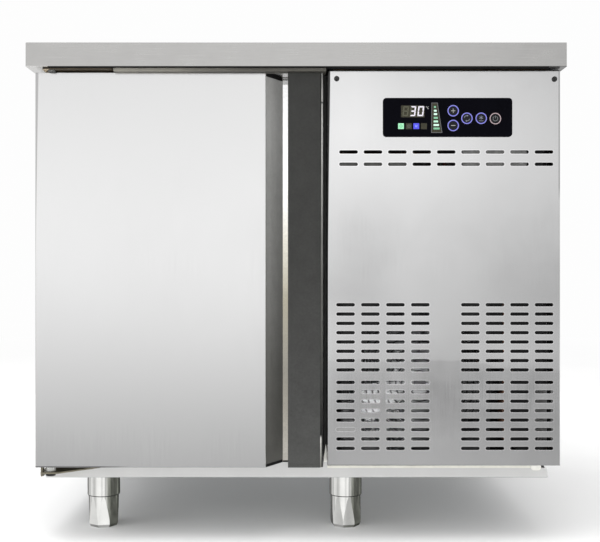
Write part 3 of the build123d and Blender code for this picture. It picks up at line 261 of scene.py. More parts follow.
def srgb(r, g, b):
    def lin(c):
        c /= 255.0
        return c / 12.92 if c <= 0.04045 else ((c + 0.055) / 1.055) ** 2.4
    return (lin(r), lin(g), lin(b))


# ---------------------------------------------------------------------------
# Studio: world seen in the metal, pale floor, soft lights
# ---------------------------------------------------------------------------
world = bpy.data.worlds.new("studio_world")
world.use_nodes = True
scene.world = world
w = Tree(world.node_tree)
w_out = w.add("ShaderNodeOutputWorld")
sep = w.add("ShaderNodeSeparateXYZ")
w.put(sep.inputs[0], w.add("ShaderNodeTexCoord").outputs["Generated"])
elev = w.math("MULTIPLY", w.math("ARCSINE", sep.outputs["Z"]), 57.29578)
azim = w.math("MULTIPLY", w.math("ARCTAN2", sep.outputs["X"], w.math("MULTIPLY", sep.outputs["Y"], -1.0)), 57.29578)

epos = w.remap(elev, -20.0, 20.0, 0.0, 1.0)


PEAK = 1.4


def stops(pairs):
    return [((e + 20.0) / 40.0, v / PEAK) for e, v in pairs]


# radiance by elevation in front of the door, and in front of the machine panel
left = w.ramp(epos, stops([
    (-16, 0.36), (-12.4, 0.40), (-11.3, 0.44), (-9.5, 0.585), (-7.6, 0.735), (-5.7, 0.885), (-3.9, 1.01),
    (-2.0, 1.12), (0.0, 1.19), (5.6, 1.18), (7.5, 1.09), (9.4, 1.02), (11.2, 0.875), (12.5, 0.90), (18, 1.05)]))
wander = w.add("ShaderNodeTexNoise")
w.put(wander.inputs["Vector"], w.add("ShaderNodeTexCoord").outputs["Generated"])
wander.inputs["Scale"].default_value = 22.0
wander.inputs["Detail"].default_value = 2.0
epos_r = w.math("ADD", epos, w.remap(wander.outputs["Fac"], 0.3, 0.7, -0.007, 0.007))
right = w.ramp(epos_r, stops([
    (-16, 0.60), (-10.8, 0.59), (-9.7, 0.565), (-8.5, 0.445), (-7.4, 0.345), (-6.2, 0.38), (-5.35, 0.41),
    (-5.05, 0.79), (-3.8, 0.795), (-1.5, 0.84), (0.3, 0.79), (2.1, 0.895), (3.9, 1.01), (5.7, 1.12),
    (7.2, 1.17), (9.0, 1.15), (10.9, 1.05), (11.5, 0.90), (12.6, 0.90), (18, 0.95)]))
fade = w.ramp(w.remap(azim, 0.0, 20.0, 0.0, 1.0), [(0.1, 0.76), (0.25, 0.75), (0.43, 0.70), (0.66, 0.585), (0.9, 0.51)])
right = w.mix(1.0, right, w.math("MULTIPLY", fade, 1.4), "MULTIPLY")
side = w.remap(azim, 0.6, 2.6, 0.0, 1.0, "SMOOTHSTEP")
# a narrow brighter upright band, seen only by the back of the grip recess
band_l = w.remap(azim, -2.3, -1.9, 0.0, 1.0, "SMOOTHSTEP")
band_r = w.remap(azim, -0.7, -0.3, 1.0, 0.0, "SMOOTHSTEP")
left = w.mix(1.0, left, w.remap(w.math("MULTIPLY", band_l, band_r), 0.0, 1.0, 1.0, 1.14), "MULTIPLY")
front = w.mix(side, left, right)
# the rest of the room: bright above, softer below, with broad panels at the sides
general = w.ramp(w.remap(elev, -90.0, 90.0, 0.0, 1.0),
                 [(0.0, 0.30), (0.30, 0.36), (0.42, 0.44), (0.48, 0.54), (0.53, 0.64), (0.62, 0.70), (0.8, 0.74), (1.0, 0.74)])
panels = w.remap(w.math("COSINE", w.math("MULTIPLY", azim, 0.0698132)), -1.0, 1.0, 0.78, 1.16)
general = w.mix(1.0, general, panels, "MULTIPLY")
front_az = w.remap(w.math("ABSOLUTE", azim), 40.0, 72.0, 1.0, 0.0, "SMOOTHSTEP")
front_el = w.remap(elev, 14.0, 34.0, 1.0, 0.0, "SMOOTHSTEP")
radiance = w.mix(w.math("MULTIPLY", front_az, front_el), general, front)
bg_light = w.add("ShaderNodeBackground")
w.put(bg_light.inputs["Color"], radiance)
bg_light.inputs["Strength"].default_value = PEAK
bg_plain = w.add("ShaderNodeBackground")
bg_plain.inputs["Color"].default_value = (0.985, 0.985, 0.985, 1)
bg_plain.inputs["Strength"].default_value = 1.0
mix_bg = w.add("ShaderNodeMixShader")
w.put(mix_bg.inputs[0], w.add("ShaderNodeLightPath").outputs["Is Camera Ray"])
w.put(mix_bg.inputs[1], bg_light.outputs[0])
w.put(mix_bg.inputs[2], bg_plain.outputs[0])
w.put(w_out.inputs["Surface"], mix_bg.outputs[0])


def area(name, loc, target, size, power, glossy=True, color=(1, 1, 1)):
    d = bpy.data.lights.new(name, "AREA")
    d.shape = "RECTANGLE"
    d.size, d.size_y = size
    d.energy = power
    d.color = color
    o = bpy.data.objects.new(name, d)
    o.location = loc
    o.rotation_euler = (Vector(target) - Vector(loc)).to_track_quat("-Z", "Y").to_euler()
    o.visible_glossy = glossy
    o.visible_camera = False
    scene.collection.objects.link(o)
    return o


area("top_softbox", (-0.6, -0.9, 3.2), (0, 0, 0.5), (2.6, 2.0), 55, glossy=False)
area("left_softbox", (-3.0, -1.6, 1.9), (0, 0, 0.4), (1.6, 1.6), 26, glossy=False)
area("front_fill", (0.0063, -2.1, 0.46), (0.0, 0, 0.42), (0.16, 0.16), 9, glossy=False)

for lamp_name, at, to, size, power, cone in (
        ("fan_lamp_left", (0.154, -0.300, 0.200), (0.152, -0.19, 0.203), (0.065, 0.06), 0.145, 66),
        ("fan_lamp_hub", (0.214, -0.312, 0.266), (0.214, -0.19, 0.268), (0.03, 0.03), 0.034, 60)):
    lamp = area(lamp_name, at, to, size, power, glossy=False)
    lamp.data.spread = math.radians(cone)

# floor disc, fading into the plain background far out
bm = bmesh.new()
bmesh.ops.create_circle(bm, cap_ends=True, cap_tris=False, segments=128, radius=14.0)
mesh = bpy.data.meshes.new("studio_floor")
bm.to_mesh(mesh)
bm.free()
floor = bpy.data.objects.new("studio_floor", mesh)
scene.collection.objects.link(floor)
floor.visible_glossy = False
fm = bpy.data.materials.new("floor_pale")
fm.use_nodes = True
t = Tree(fm.node_tree)
out = t.add("ShaderNodeOutputMaterial")
dif = t.add("ShaderNodeBsdfDiffuse")
emi = t.add("ShaderNodeEmission")
tc = t.add("ShaderNodeTexCoord").outputs["Object"]
dif.inputs["Color"].default_value = (0.86, 0.86, 0.86, 1)
t.put(dif.inputs["Color"], t.mix(t.remap(t.noise(tc, 3.0, 2.0), 0.3, 0.7, 0.0, 1.0),
                                 (0.88, 0.88, 0.88, 1), (0.90, 0.90, 0.898, 1)))
emi.inputs["Color"].default_value = (0.985, 0.985, 0.985, 1)
ln = t.add("ShaderNodeVectorMath", operation="LENGTH")
t.put(ln.inputs[0], tc)
fademix = t.add("ShaderNodeMixShader")
t.put(fademix.inputs[0], t.remap(ln.outputs["Value"], 1.2, 5.0, 0.0, 1.0, "SMOOTHSTEP"))
t.put(fademix.inputs[1], dif.outputs[0])
t.put(fademix.inputs[2], emi.outputs[0])
t.put(out.inputs["Surface"], fademix.outputs[0])
floor.data.materials.append(fm)

# reflector rings, seen only in the polished front feet: a broad white card in front,
# narrow grey and white strips at the left, a dark mottled card at the right
ring_mat = bpy.data.materials.new("foot_reflectors")
ring_mat.use_nodes = True
t = Tree(ring_mat.node_tree)
out = t.add("ShaderNodeOutputMaterial")
emi = t.add("ShaderNodeEmission")
t.put(out.inputs["Surface"], emi.outputs[0])
tc = t.add("ShaderNodeTexCoord").outputs["Object"]
sp = t.add("ShaderNodeSeparateXYZ")
t.put(sp.inputs[0], tc)
ang = t.math("MULTIPLY", t.math("ARCTAN2", sp.outputs["X"], t.math("MULTIPLY", sp.outputs["Y"], -1.0)), 57.29578)
streak = t.noise(t.scaled(tc, 60.0, 60.0, 5.0), 1.0, 3.0, 0.6)
ang = t.math("ADD", ang, t.remap(streak, 0.3, 0.7, -2.5, 2.5))
card = t.ramp(t.remap(ang, -180.0, 180.0, 0.0, 1.0), [
    (0.08, 0.10), (0.15, 0.16), (0.185, 0.42), (0.215, 0.70), (0.24, 0.42), (0.262, 0.80), (0.31, 0.74),
    (0.335, 0.52), (0.365, 0.60), (0.40, 0.92), (0.455, 1.0), (0.478, 0.96), (0.492, 0.76), (0.512, 0.84),
    (0.528, 1.0), (0.542, 0.96), (0.553, 0.46), (0.566, 0.46), (0.580, 0.62), (0.60, 0.42), (0.63, 0.22),
    (0.66, 0.12), (0.70, 0.085), (0.80, 0.10), (0.83, 0.20), (0.86, 0.05), (0.93, 0.05)])
spots = t.noise(t.scaled(tc, 42.0, 42.0, 26.0), 1.0, 5.0, 0.72)
dark_side = t.remap(ang, 18.0, 55.0, 0.0, 1.0, "SMOOTHSTEP")
mottled = t.remap(spots, 0.32, 0.72, 0.35, 1.9)
card = t.mix(dark_side, card, t.mix(1.0, card, mottled, "MULTIPLY"))
height = t.remap(sp.outputs["Z"], -0.16, -0.10, 0.42, 1.0, "SMOOTHSTEP")
warm = t.mix(dark_side, (1.0, 1.0, 0.985, 1), (0.97, 1.0, 0.88, 1))
t.put(emi.inputs["Color"], t.mix(1.0, t.mix(1.0, card, height, "MULTIPLY"), warm, "MULTIPLY"))
emi.inputs["Strength"].default_value = 1.12
for side_name, fx in (("left", -0.350), ("right", 0.089)):
    bm = bmesh.new()
    for k in range(96):
        a0, a1 = (math.radians(360.0 * q / 96) for q in (k, k + 1))
        quad = [(0.17 * math.sin(a), -0.17 * math.cos(a), z) for a, z in ((a0, -0.45), (a1, -0.45), (a1, 0.092), (a0, 0.092))]
        bm.faces.new([bm.verts.new(v) for v in quad])
    bmesh.ops.remove_doubles(bm, verts=bm.verts[:], dist=1e-5)
    mesh = bpy.data.meshes.new("foot_ring_" + side_name)
    bm.to_mesh(mesh)
    bm.free()
    ring = bpy.data.objects.new("foot_ring_" + side_name, mesh)
    ring.location = (fx, -0.2, 0.0)
    scene.collection.objects.link(ring)
    mesh.materials.append(ring_mat)
    ring.visible_camera = False
    ring.visible_diffuse = False
    ring.visible_shadow = False
    ring.visible_transmission = False
    ring.visible_volume_scatter = False

# ---------------------------------------------------------------------------
# Materials of the CAD nodes
# ---------------------------------------------------------------------------
M = {}
M["stainless_top"] = surface("stainless_top", (0.515, 0.510, 0.500), 0.24, 1.0, grain="x", grain_amt=0.035,
                             mottle=26.0, mottle_amt=0.025, rough_var=0.03, wave=(5.0, 0.25, 0.0006),
                             edge=0.8, edge_gain=0.18)
M["stainless_door"] = surface("stainless_door", (0.78, 0.78, 0.78), 0.22, 1.0, grain="z", grain_amt=0.012,
                              mottle=3.0, mottle_amt=0.006, rough_var=0.02, wave=(2.5, 0.15, 0.0004),
                              edge=0.5, edge_gain=0.15)
M["stainless_front"] = surface("stainless_front", (0.72, 0.72, 0.722), 0.15, 1.0, grain="z", grain_amt=0.015,
                               mottle=13.0, mottle_amt=0.028, rough_var=0.03, wave=(7.0, 0.5, 0.0010),
                               edge=0.6, edge_gain=0.2)
M["stainless_body"] = surface("stainless_body", (0.60, 0.60, 0.595), 0.30, 1.0, grain="z", grain_amt=0.03,
                              mottle=8.0, mottle_amt=0.025, wave=(4.0, 0.3, 0.0008), edge=0.6, edge_gain=0.15)
M["stainless_liner"] = surface("stainless_liner", (0.70, 0.70, 0.695), 0.36, 1.0, grain="z", grain_amt=0.02,
                               mottle=9.0, mottle_amt=0.02, wave=(5.0, 0.3, 0.0008), edge=0.6, edge_gain=0.1)
M["zinc_sheet"] = surface("zinc_sheet", (0.56, 0.58, 0.585), 0.42, 1.0, mottle=60.0, mottle_amt=0.10,
                          rough_var=0.10, fine=(90.0, 0.2, 0.0002), edge=0.5, edge_gain=0.15)
M["grey_paint"] = surface("grey_paint", (0.565, 0.565, 0.560), 0.45, 0.0, mottle=20.0, mottle_amt=0.02,
                          rough_var=0.05, fine=(1400.0, 0.15, 0.00006), edge=0.6, edge_gain=0.2)
M["bracket_black"] = surface("bracket_black", (0.085, 0.068, 0.045), 0.42, 0.3, mottle=70.0, mottle_amt=0.2,
                             rough_var=0.08, fine=(900.0, 0.3, 0.0001), edge=0.6, edge_gain=0.22)
M["screw_black"] = surface("screw_black", (0.022, 0.022, 0.022), 0.32, 0.4, mottle=200.0, mottle_amt=0.2,
                           rough_var=0.06, fine=(1500.0, 0.3, 0.00005), edge=0.3, edge_gain=0.3)


M["bush_grey"] = surface("bush_grey", (0.62, 0.625, 0.60), 0.42, 0.0, mottle=120.0, mottle_amt=0.05,
                         rough_var=0.06, fine=(900.0, 0.2, 0.00006), edge=0.4, edge_gain=0.0)
M["bracket_olive"] = surface("bracket_olive", (0.20, 0.18, 0.13), 0.42, 0.3, mottle=70.0, mottle_amt=0.18,
                             rough_var=0.08, fine=(900.0, 0.3, 0.0001), edge=0.6, edge_gain=0.22)


def door_painted_shade(t, x, y, z):
    """Painted shade: a dark line down the left edge that narrows towards the middle, and a painted shadow line along
    the foot at the left.
    """
    on_front = t.remap(y, -0.3276, -0.3268, 1.0, 0.0)
    width = t.remap(z, 0.430, 0.794, 0.0, 0.0059)
    strip = t.remap(t.math("SUBTRACT", x, t.math("ADD", width, -0.440)), -0.0006, 0.0004, 1.0, 0.0)
    strip = t.math("MULTIPLY", t.math("MULTIPLY", strip, on_front), t.remap(z, 0.43, 0.50, 0.0, 1.0))
    foot = t.math("MULTIPLY", t.remap(z, 0.1310, 0.1316, 1.0, 0.0), t.remap(x, -0.330, -0.280, 1.0, 0.0))
    return t.math("MULTIPLY", t.remap(strip, 0.0, 1.0, 1.0, 0.635), t.remap(foot, 0.0, 1.0, 1.0, 0.46))


def panel_painted_light(t, x, y, z):
    """Painted shade on the upper right edge, a painted shadow line along the left half of the foot, and painted shade
    on the lower left part.
    """
    edge_r = t.math("MULTIPLY", t.remap(x, 0.4405, 0.4414, 0.0, 1.0), t.remap(z, 0.578, 0.602, 0.0, 1.0))
    foot = t.math("MULTIPLY", t.remap(z, 0.1340, 0.1346, 1.0, 0.0), t.remap(x, 0.130, 0.180, 1.0, 0.0))
    dull = t.math("MULTIPLY", t.remap(x, 0.110, 0.200, 1.0, 0.0, "SMOOTHSTEP"),
                  t.math("MULTIPLY", t.remap(z, 0.430, 0.640, 1.0, 0.0), t.remap(z, 0.36, 0.42, 0.3, 1.0)))
    f = t.math("MULTIPLY", t.remap(edge_r, 0.0, 1.0, 1.0, 0.64), t.remap(foot, 0.0, 1.0, 1.0, 0.58))
    f = t.math("MULTIPLY", f, t.remap(dull, 0.0, 1.0, 1.0, 0.82))
    # painted reflection of a faint horizon across the lower third: lighter above the line, duller below it, dropping to
    # the right
    pos = t.add("ShaderNodeCombineXYZ")
    t.put(pos.inputs["X"], x)
    t.put(pos.inputs["Z"], z)
    drift = t.remap(t.noise(pos.outputs[0], 16.0, 3.0), 0.3, 0.7, -0.004, 0.004)
    d = t.math("ADD", t.math("SUBTRACT", z, t.remap(x, 0.29, 0.41, 0.3087, 0.290)), drift)
    above = t.math("MULTIPLY", t.remap(d, 0.0, 0.0020, 0.0, 1.0), t.remap(d, 0.008, 0.060, 1.0, 0.0))
    below = t.math("MULTIPLY", t.remap(d, 0.0, -0.0020, 0.0, 1.0), t.remap(d, -0.020, -0.100, 1.0, 0.0))
    reach = t.math("MULTIPLY", t.remap(x, 0.06, 0.22, 0.45, 1.0), t.remap(x, 0.30, 0.40, 1.0, 0.6))
    step = t.math("SUBTRACT", t.math("MULTIPLY", above, 0.075), t.math("MULTIPLY", below, 0.055))
    f = t.math("MULTIPLY", f, t.math("ADD", t.math("MULTIPLY", step, reach), 1.0))
    # painted highlight on the upper left corner, painted shade towards the right below the middle
    top_left = t.math("MULTIPLY", t.remap(x, 0.10, 0.17, 1.055, 0.975), 1.0)
    f = t.math("MULTIPLY", f, t.mixf(t.remap(z, 0.645, 0.70, 0.0, 1.0), 1.0, top_left))
    low_right = t.math("MULTIPLY", t.remap(x, 0.28, 0.36, 0.0, 1.0), t.math("MULTIPLY", t.remap(z, 0.47, 0.52, 1.0, 0.0), t.remap(z, 0.38, 0.42, 0.0, 1.0)))
    f = t.math("MULTIPLY", f, t.remap(low_right, 0.0, 1.0, 1.0, 0.93))
    # painted light: a lighter area over the lower right slot block
    lift = t.ramp(t.remap(z, 0.14, 0.38, 0.0, 1.0), [(0.0, 0.05), (0.33, 0.06), (0.43, 0.23), (0.52, 0.21), (0.61, 0.15),
                                                     (0.67, 0.21), (0.705, 0.24), (0.79, 0.20), (0.885, 0.11), (0.98, 0.0)])
    lift = t.math("MULTIPLY", lift, t.remap(x, 0.270, 0.350, 0.0, 1.0))
    f = t.math("MULTIPLY", f, t.math("ADD", lift, 1.0))
    # painted highlight: a thin bright line round every slot
    half_len, half_h = (SLOT_L - SLOT_H) / 2000.0, SLOT_H / 2000.0

    def to_grid(v, first, pitch):
        u = t.math("DIVIDE", t.math("SUBTRACT", v, first), pitch)
        return t.math("MULTIPLY", t.math("ABSOLUTE", t.math("SUBTRACT", u, t.math("ROUND", u))), pitch)

    def ring(cx, cz, inside):
        dx = t.math("MAXIMUM", t.math("SUBTRACT", cx, half_len), 0.0)
        r = t.math("SQRT", t.math("ADD", t.math("MULTIPLY", dx, dx), t.math("MULTIPLY", cz, cz)))
        return t.math("MULTIPLY", t.remap(t.math("SUBTRACT", r, half_h), 0.0010, 0.0021, 1.0, 0.0), inside)

    is_left = t.remap(x, 0.2500, 0.2502, 1.0, 0.0)
    dx_low = t.mixf(is_left, to_grid(x, 0.2927, 0.0413), to_grid(x, 0.0829, 0.0419))
    is_upper_rows = t.remap(z, 0.2832, 0.2834, 0.0, 1.0)
    dz_low = t.mixf(is_upper_rows, to_grid(z, 0.2727, 0.01585), to_grid(z, 0.4032, 0.01564))
    off_middle = t.math("MAXIMUM", t.remap(x, 0.2290, 0.2292, 1.0, 0.0), t.remap(x, 0.2720, 0.2722, 0.0, 1.0))
    low = t.math("MULTIPLY", t.remap(z, 0.1545, 0.1547, 0.0, 1.0), t.remap(z, 0.4108, 0.4110, 1.0, 0.0))
    rim = ring(dx_low, dz_low, t.math("MULTIPLY", low, off_middle))
    high = t.math("MULTIPLY", t.remap(z, 0.6290, 0.6292, 0.0, 1.0), t.remap(z, 0.6700, 0.6702, 1.0, 0.0))
    rim_high = ring(to_grid(x, 0.0879, 0.04107), to_grid(z, 0.6395, 0.0206), high)
    field = t.math("MULTIPLY", t.remap(x, 0.0646, 0.0648, 0.0, 1.0), t.remap(x, 0.4346, 0.4348, 1.0, 0.0))
    field = t.math("MULTIPLY", field, t.remap(y, -0.3306, -0.3304, 1.0, 0.0))
    rim = t.math("MULTIPLY", t.math("MAXIMUM", rim, rim_high), field)
    return t.math("MULTIPLY", f, t.remap(rim, 0.0, 1.0, 1.0, 1.17))


tint(M["stainless_door"], door_painted_shade)
tint(M["stainless_front"], panel_painted_light)


def worktop_painted_light(t, x, y, z):
    """Painted light: a little brighter to the right; painted shade on the lower fold, with a painted light end at its
    left.
    """
    low = t.remap(z, 0.8005, 0.8008, 1.0, 0.0)
    end = t.remap(x, -0.4140, -0.4125, 1.95, 0.32)
    return t.math("MULTIPLY", t.remap(x, -0.44, 0.44, 0.995, 1.035), t.mixf(low, 1.0, end))


def hinge_painted_light(t, x, y, z):
    """Painted light: a bright end under the hinge plate."""
    low = t.math("MULTIPLY", t.remap(z, 0.7972, 0.7976, 1.0, 0.0), t.remap(x, -0.4140, -0.4130, 1.0, 0.0))
    return t.remap(low, 0.0, 1.0, 1.0, 8.0)


# painted shade: the dark taper stands in for the shade of the gap beside the panel
def panel_gap_shade(t, x, y, z):
    """Dark taper down the panel's left edge, wider at the top."""
    width = t.ramp(t.remap(z, 0.40, 0.80, 0.0, 1.0), [(0.0, 0.0), (0.28, 0.11), (0.53, 0.23), (0.66, 0.31), (0.80, 0.43), (0.95, 0.53)])
    edge = t.math("ADD", t.math("MULTIPLY", width, 0.0082), 0.0527)
    dark = t.remap(t.math("SUBTRACT", x, edge), -0.0005, 0.0005, 1.0, 0.0)
    dark = t.math("MULTIPLY", dark, t.remap(y, -0.3300, -0.3290, 1.0, 0.0))
    return t.remap(dark, 0.0, 1.0, 1.0, 0.07)


tint(M["stainless_top"], worktop_painted_light)
tint(M["stainless_front"], panel_gap_shade)
tint(M["bracket_black"], hinge_painted_light)


def recess_metal():
    """Handle channel: satin slanted wall with painted shade towards its lower end and painted light towards its rear
    edge; bright smooth floor with a painted reflection that dims and yellows lower down and brightens again at the
    foot.
    """
    m = bpy.data.materials.new("recess_aluminium")
    m.use_nodes = True
    t = Tree(m.node_tree)
    out = t.add("ShaderNodeOutputMaterial")
    b = t.add("ShaderNodeBsdfPrincipled")
    t.put(out.inputs["Surface"], b.outputs[0])
    tc = t.add("ShaderNodeTexCoord").outputs["Object"]
    sp = t.add("ShaderNodeSeparateXYZ")
    t.put(sp.inputs[0], tc)
    geo = t.add("ShaderNodeNewGeometry")
    gn = t.add("ShaderNodeSeparateXYZ")
    t.put(gn.inputs[0], geo.outputs["Normal"])
    # floor of the recess: faces straight to the front and lies deep inside
    flat = t.remap(t.math("ABSOLUTE", gn.outputs["X"]), 0.25, 0.5, 1.0, 0.0)
    deep = t.remap(sp.outputs["Y"], -0.290, -0.285, 0.0, 1.0)
    floor_mask = t.math("MULTIPLY", flat, deep)
    z = sp.outputs["Z"]
    cloud = t.noise(tc, 55.0, 4.0, 0.6, 0.3)
    fine_n = t.noise(tc, 260.0, 3.0, 0.6)
    dirt = t.math("MULTIPLY", t.remap(cloud, 0.3, 0.7, 0.93, 1.07), t.remap(fine_n, 0.3, 0.7, 0.96, 1.04))
    # painted shade: the wall darkens towards its lower end
    wall = t.ramp(t.remap(z, 0.12, 0.80, 0.0, 1.0), [
        (0.0, (0.105, 0.104, 0.096)), (0.08, (0.135, 0.134, 0.124)), (0.25, (0.172, 0.171, 0.159)),
        (0.42, (0.265, 0.264, 0.252)), (0.60, (0.345, 0.345, 0.332)), (0.75, (0.40, 0.401, 0.388)),
        (0.88, (0.50, 0.50, 0.487)), (0.97, (0.54, 0.54, 0.525)), (1.0, (0.57, 0.57, 0.555))])
    # painted reflection on the floor of the recess: bright at the top and at the foot, dim and yellowish between
    floor_painted_reflection = t.ramp(t.remap(z, 0.12, 0.80, 0.0, 1.0), [
        (0.0, (0.90, 0.86, 0.78)), (0.044, (0.86, 0.825, 0.745)), (0.095, (0.65, 0.62, 0.55)), (0.146, (0.50, 0.475, 0.415)),
        (0.197, (0.41, 0.39, 0.34)), (0.25, (0.355, 0.34, 0.30)), (0.43, (0.39, 0.365, 0.29)), (0.50, (0.53, 0.505, 0.43)),
        (0.58, (0.68, 0.655, 0.58)), (0.66, (0.84, 0.83, 0.79)), (0.74, (0.96, 0.96, 0.955)), (1.0, (0.97, 0.97, 0.97))])
    # painted light: the wall lighter towards its rear edge
    across = t.add("ShaderNodeVectorMath", operation="SCALE")
    t.put(across.inputs[0], wall)
    t.put(across.inputs["Scale"], t.remap(sp.outputs["X"], -0.051, -0.025, 0.76, 1.17))
    wall = across.outputs[0]
    scale = t.add("ShaderNodeVectorMath", operation="SCALE")
    t.put(scale.inputs[0], t.mix(floor_mask, wall, floor_painted_reflection))
    t.put(scale.inputs["Scale"], dirt)
    t.put(b.inputs["Base Color"], scale.outputs[0])
    t.put(b.inputs["Metallic"], t.mixf(floor_mask, 0.15, 1.0))
    t.put(b.inputs["Roughness"], t.math("ADD", t.mixf(floor_mask, 0.44, 0.085), t.remap(cloud, 0.3, 0.7, -0.03, 0.03)))
    b.inputs["Specular IOR Level"].default_value = 0.4
    bp = t.add("ShaderNodeBump")
    bp.inputs["Strength"].default_value = 0.12
    bp.inputs["Distance"].default_value = 0.00008
    t.put(bp.inputs["Height"], fine_n)
    bev = t.add("ShaderNodeBevel", samples=4)
    bev.inputs["Radius"].default_value = 0.4 * MM
    t.put(bp.inputs["Normal"], bev.outputs["Normal"])
    t.put(b.inputs["Normal"], bp.outputs[0])
    return m


def grip_metal():
    """Dark slate profile, a little lighter towards its lower end, with a painted reflection down its bevel."""
    m = bpy.data.materials.new("grip_slate")
    m.use_nodes = True
    t = Tree(m.node_tree)
    out = t.add("ShaderNodeOutputMaterial")
    b = t.add("ShaderNodeBsdfPrincipled")
    t.put(out.inputs["Surface"], b.outputs[0])
    tc = t.add("ShaderNodeTexCoord").outputs["Object"]
    sp = t.add("ShaderNodeSeparateXYZ")
    t.put(sp.inputs[0], tc)
    cloud = t.noise(tc, 30.0, 5.0, 0.65, 0.4)
    fine_n = t.noise(tc, 240.0, 3.0, 0.65)
    base = t.ramp(t.remap(sp.outputs["Z"], 0.12, 0.80, 0.0, 1.0), [
        (0.0, (0.055, 0.0555, 0.053)), (0.10, (0.048, 0.0485, 0.0465)), (0.3, (0.038, 0.0382, 0.0365)),
        (0.55, (0.029, 0.0292, 0.0275)), (0.93, (0.0255, 0.0257, 0.0242)), (1.0, (0.034, 0.0342, 0.032))])
    dirt = t.math("MULTIPLY", t.remap(cloud, 0.3, 0.7, 0.86, 1.14), t.remap(fine_n, 0.3, 0.7, 0.90, 1.10))
    # painted reflection down the bevel at the right edge: bright at the top and at the foot, dark between
    bevel_painted_reflection = t.ramp(t.remap(sp.outputs["Z"], 0.12, 0.80, 0.0, 1.0), [
        (0.0, (0.12, 0.12, 0.11)), (0.035, (0.25, 0.25, 0.23)), (0.055, (0.43, 0.43, 0.40)), (0.085, (0.68, 0.68, 0.64)),
        (0.092, (0.014, 0.014, 0.014)), (0.13, (0.030, 0.030, 0.028)), (0.28, (0.075, 0.075, 0.070)),
        (0.43, (0.12, 0.12, 0.112)), (0.577, (0.19, 0.19, 0.18)), (0.726, (0.33, 0.33, 0.315)), (0.80, (0.45, 0.45, 0.43)),
        (0.91, (0.44, 0.44, 0.42)), (0.9145, (0.42, 0.42, 0.40)), (0.916, (0.02, 0.02, 0.02)), (0.919, (0.02, 0.02, 0.02)),
        (0.921, (0.40, 0.40, 0.38)), (0.94, (0.41, 0.41, 0.39)), (0.975, (0.28, 0.28, 0.265)), (1.0, (0.22, 0.22, 0.21))])
    zr = t.remap(sp.outputs["Z"], 0.12, 0.80, 0.0, 1.0)
    left_x = t.math("ADD", t.math("MULTIPLY", t.ramp(zr, [(0.09, 0.0), (0.28, 0.28), (0.577, 0.55), (0.97, 0.92)]), 0.0025), 0.0401)
    right_x = t.math("ADD", t.math("MULTIPLY", t.ramp(zr, [(0.09, 0.0), (0.14, 0.5), (0.30, 1.0)]), 0.0034), 0.0426)
    x_in = t.math("MULTIPLY", t.remap(t.math("SUBTRACT", sp.outputs["X"], left_x), -0.0003, 0.0003, 0.0, 1.0),
                  t.remap(t.math("SUBTRACT", sp.outputs["X"], right_x), -0.0003, 0.0003, 1.0, 0.0))
    bevel_painted_reflection = t.mix(x_in, (0.026, 0.026, 0.025, 1), bevel_painted_reflection)
    on_bevel = t.math("MULTIPLY", t.remap(sp.outputs["X"], 0.0401, 0.0405, 0.0, 1.0),
                      t.remap(sp.outputs["Y"], -0.3224, -0.3220, 1.0, 0.0))
    base = t.mix(on_bevel, base, bevel_painted_reflection)
    scale = t.add("ShaderNodeVectorMath", operation="SCALE")
    t.put(scale.inputs[0], base)
    t.put(scale.inputs["Scale"], dirt)
    t.put(b.inputs["Base Color"], scale.outputs[0])
    b.inputs["Metallic"].default_value = 0.0
    t.put(b.inputs["Specular IOR Level"], t.mixf(on_bevel, 0.27, 0.06))
    t.put(b.inputs["Roughness"], t.remap(cloud, 0.3, 0.7, 0.44, 0.56))
    bev = t.add("ShaderNodeBevel", samples=4)
    bev.inputs["Radius"].default_value = 0.5 * MM
    bp = t.add("ShaderNodeBump")
    bp.inputs["Strength"].default_value = 0.2
    bp.inputs["Distance"].default_value = 0.0001
    t.put(bp.inputs["Height"], fine_n)
    t.put(bp.inputs["Normal"], bev.outputs["Normal"])
    t.put(b.inputs["Normal"], bp.outputs[0])
    return m


M["recess_aluminium"] = recess_metal()
M["grip_slate"] = grip_metal()
M["rail_olive"] = surface("rail_olive", (0.115, 0.110, 0.095), 0.46, 0.4, mottle=24.0, mottle_amt=0.18,
                          rough_var=0.06, fine=(400.0, 0.2, 0.0001), edge=0.4, edge_gain=0.1)
rt = M["rail_olive"].node_tree
rb = next(n for n in rt.nodes if n.type == "BSDF_PRINCIPLED")
old = rb.inputs["Base Color"].links[0].from_socket
sx = rt.nodes.new("ShaderNodeSeparateXYZ")
rt.links.new(rt.nodes.new("ShaderNodeTexCoord").outputs["Object"], sx.inputs[0])
mr = rt.nodes.new("ShaderNodeMapRange")
mr.inputs["From Min"].default_value = -0.27
mr.inputs["From Max"].default_value = -0.09
mr.inputs["To Min"].default_value = 2.9
mr.inputs["To Max"].default_value = 1.05
rt.links.new(sx.outputs["X"], mr.inputs["Value"])
sc = rt.nodes.new("ShaderNodeVectorMath")
sc.operation = "SCALE"
rt.links.new(old, sc.inputs[0])
rt.links.new(mr.outputs["Result"], sc.inputs["Scale"])
rt.links.new(sc.outputs[0], rb.inputs["Base Color"])
M["shroud_dark"] = surface("shroud_dark", (0.022, 0.022, 0.022), 0.55, 0.0, mottle=60.0, mottle_amt=0.2,
                           rough_var=0.08, fine=(700.0, 0.3, 0.0001), edge=0.5, edge_gain=0.12, dust=0.06)
M["cream_film"] = surface("cream_film", (0.74, 0.73, 0.66), 0.5, 0.0, mottle=90.0, mottle_amt=0.05,
                          fine=(600.0, 0.2, 0.0001))
M["filter_mat"] = surface("filter_mat", (0.012, 0.012, 0.012), 0.9, 0.0, mottle=90.0, mottle_amt=0.3,
                          fine=(420.0, 1.0, 0.0012), spec=0.15)
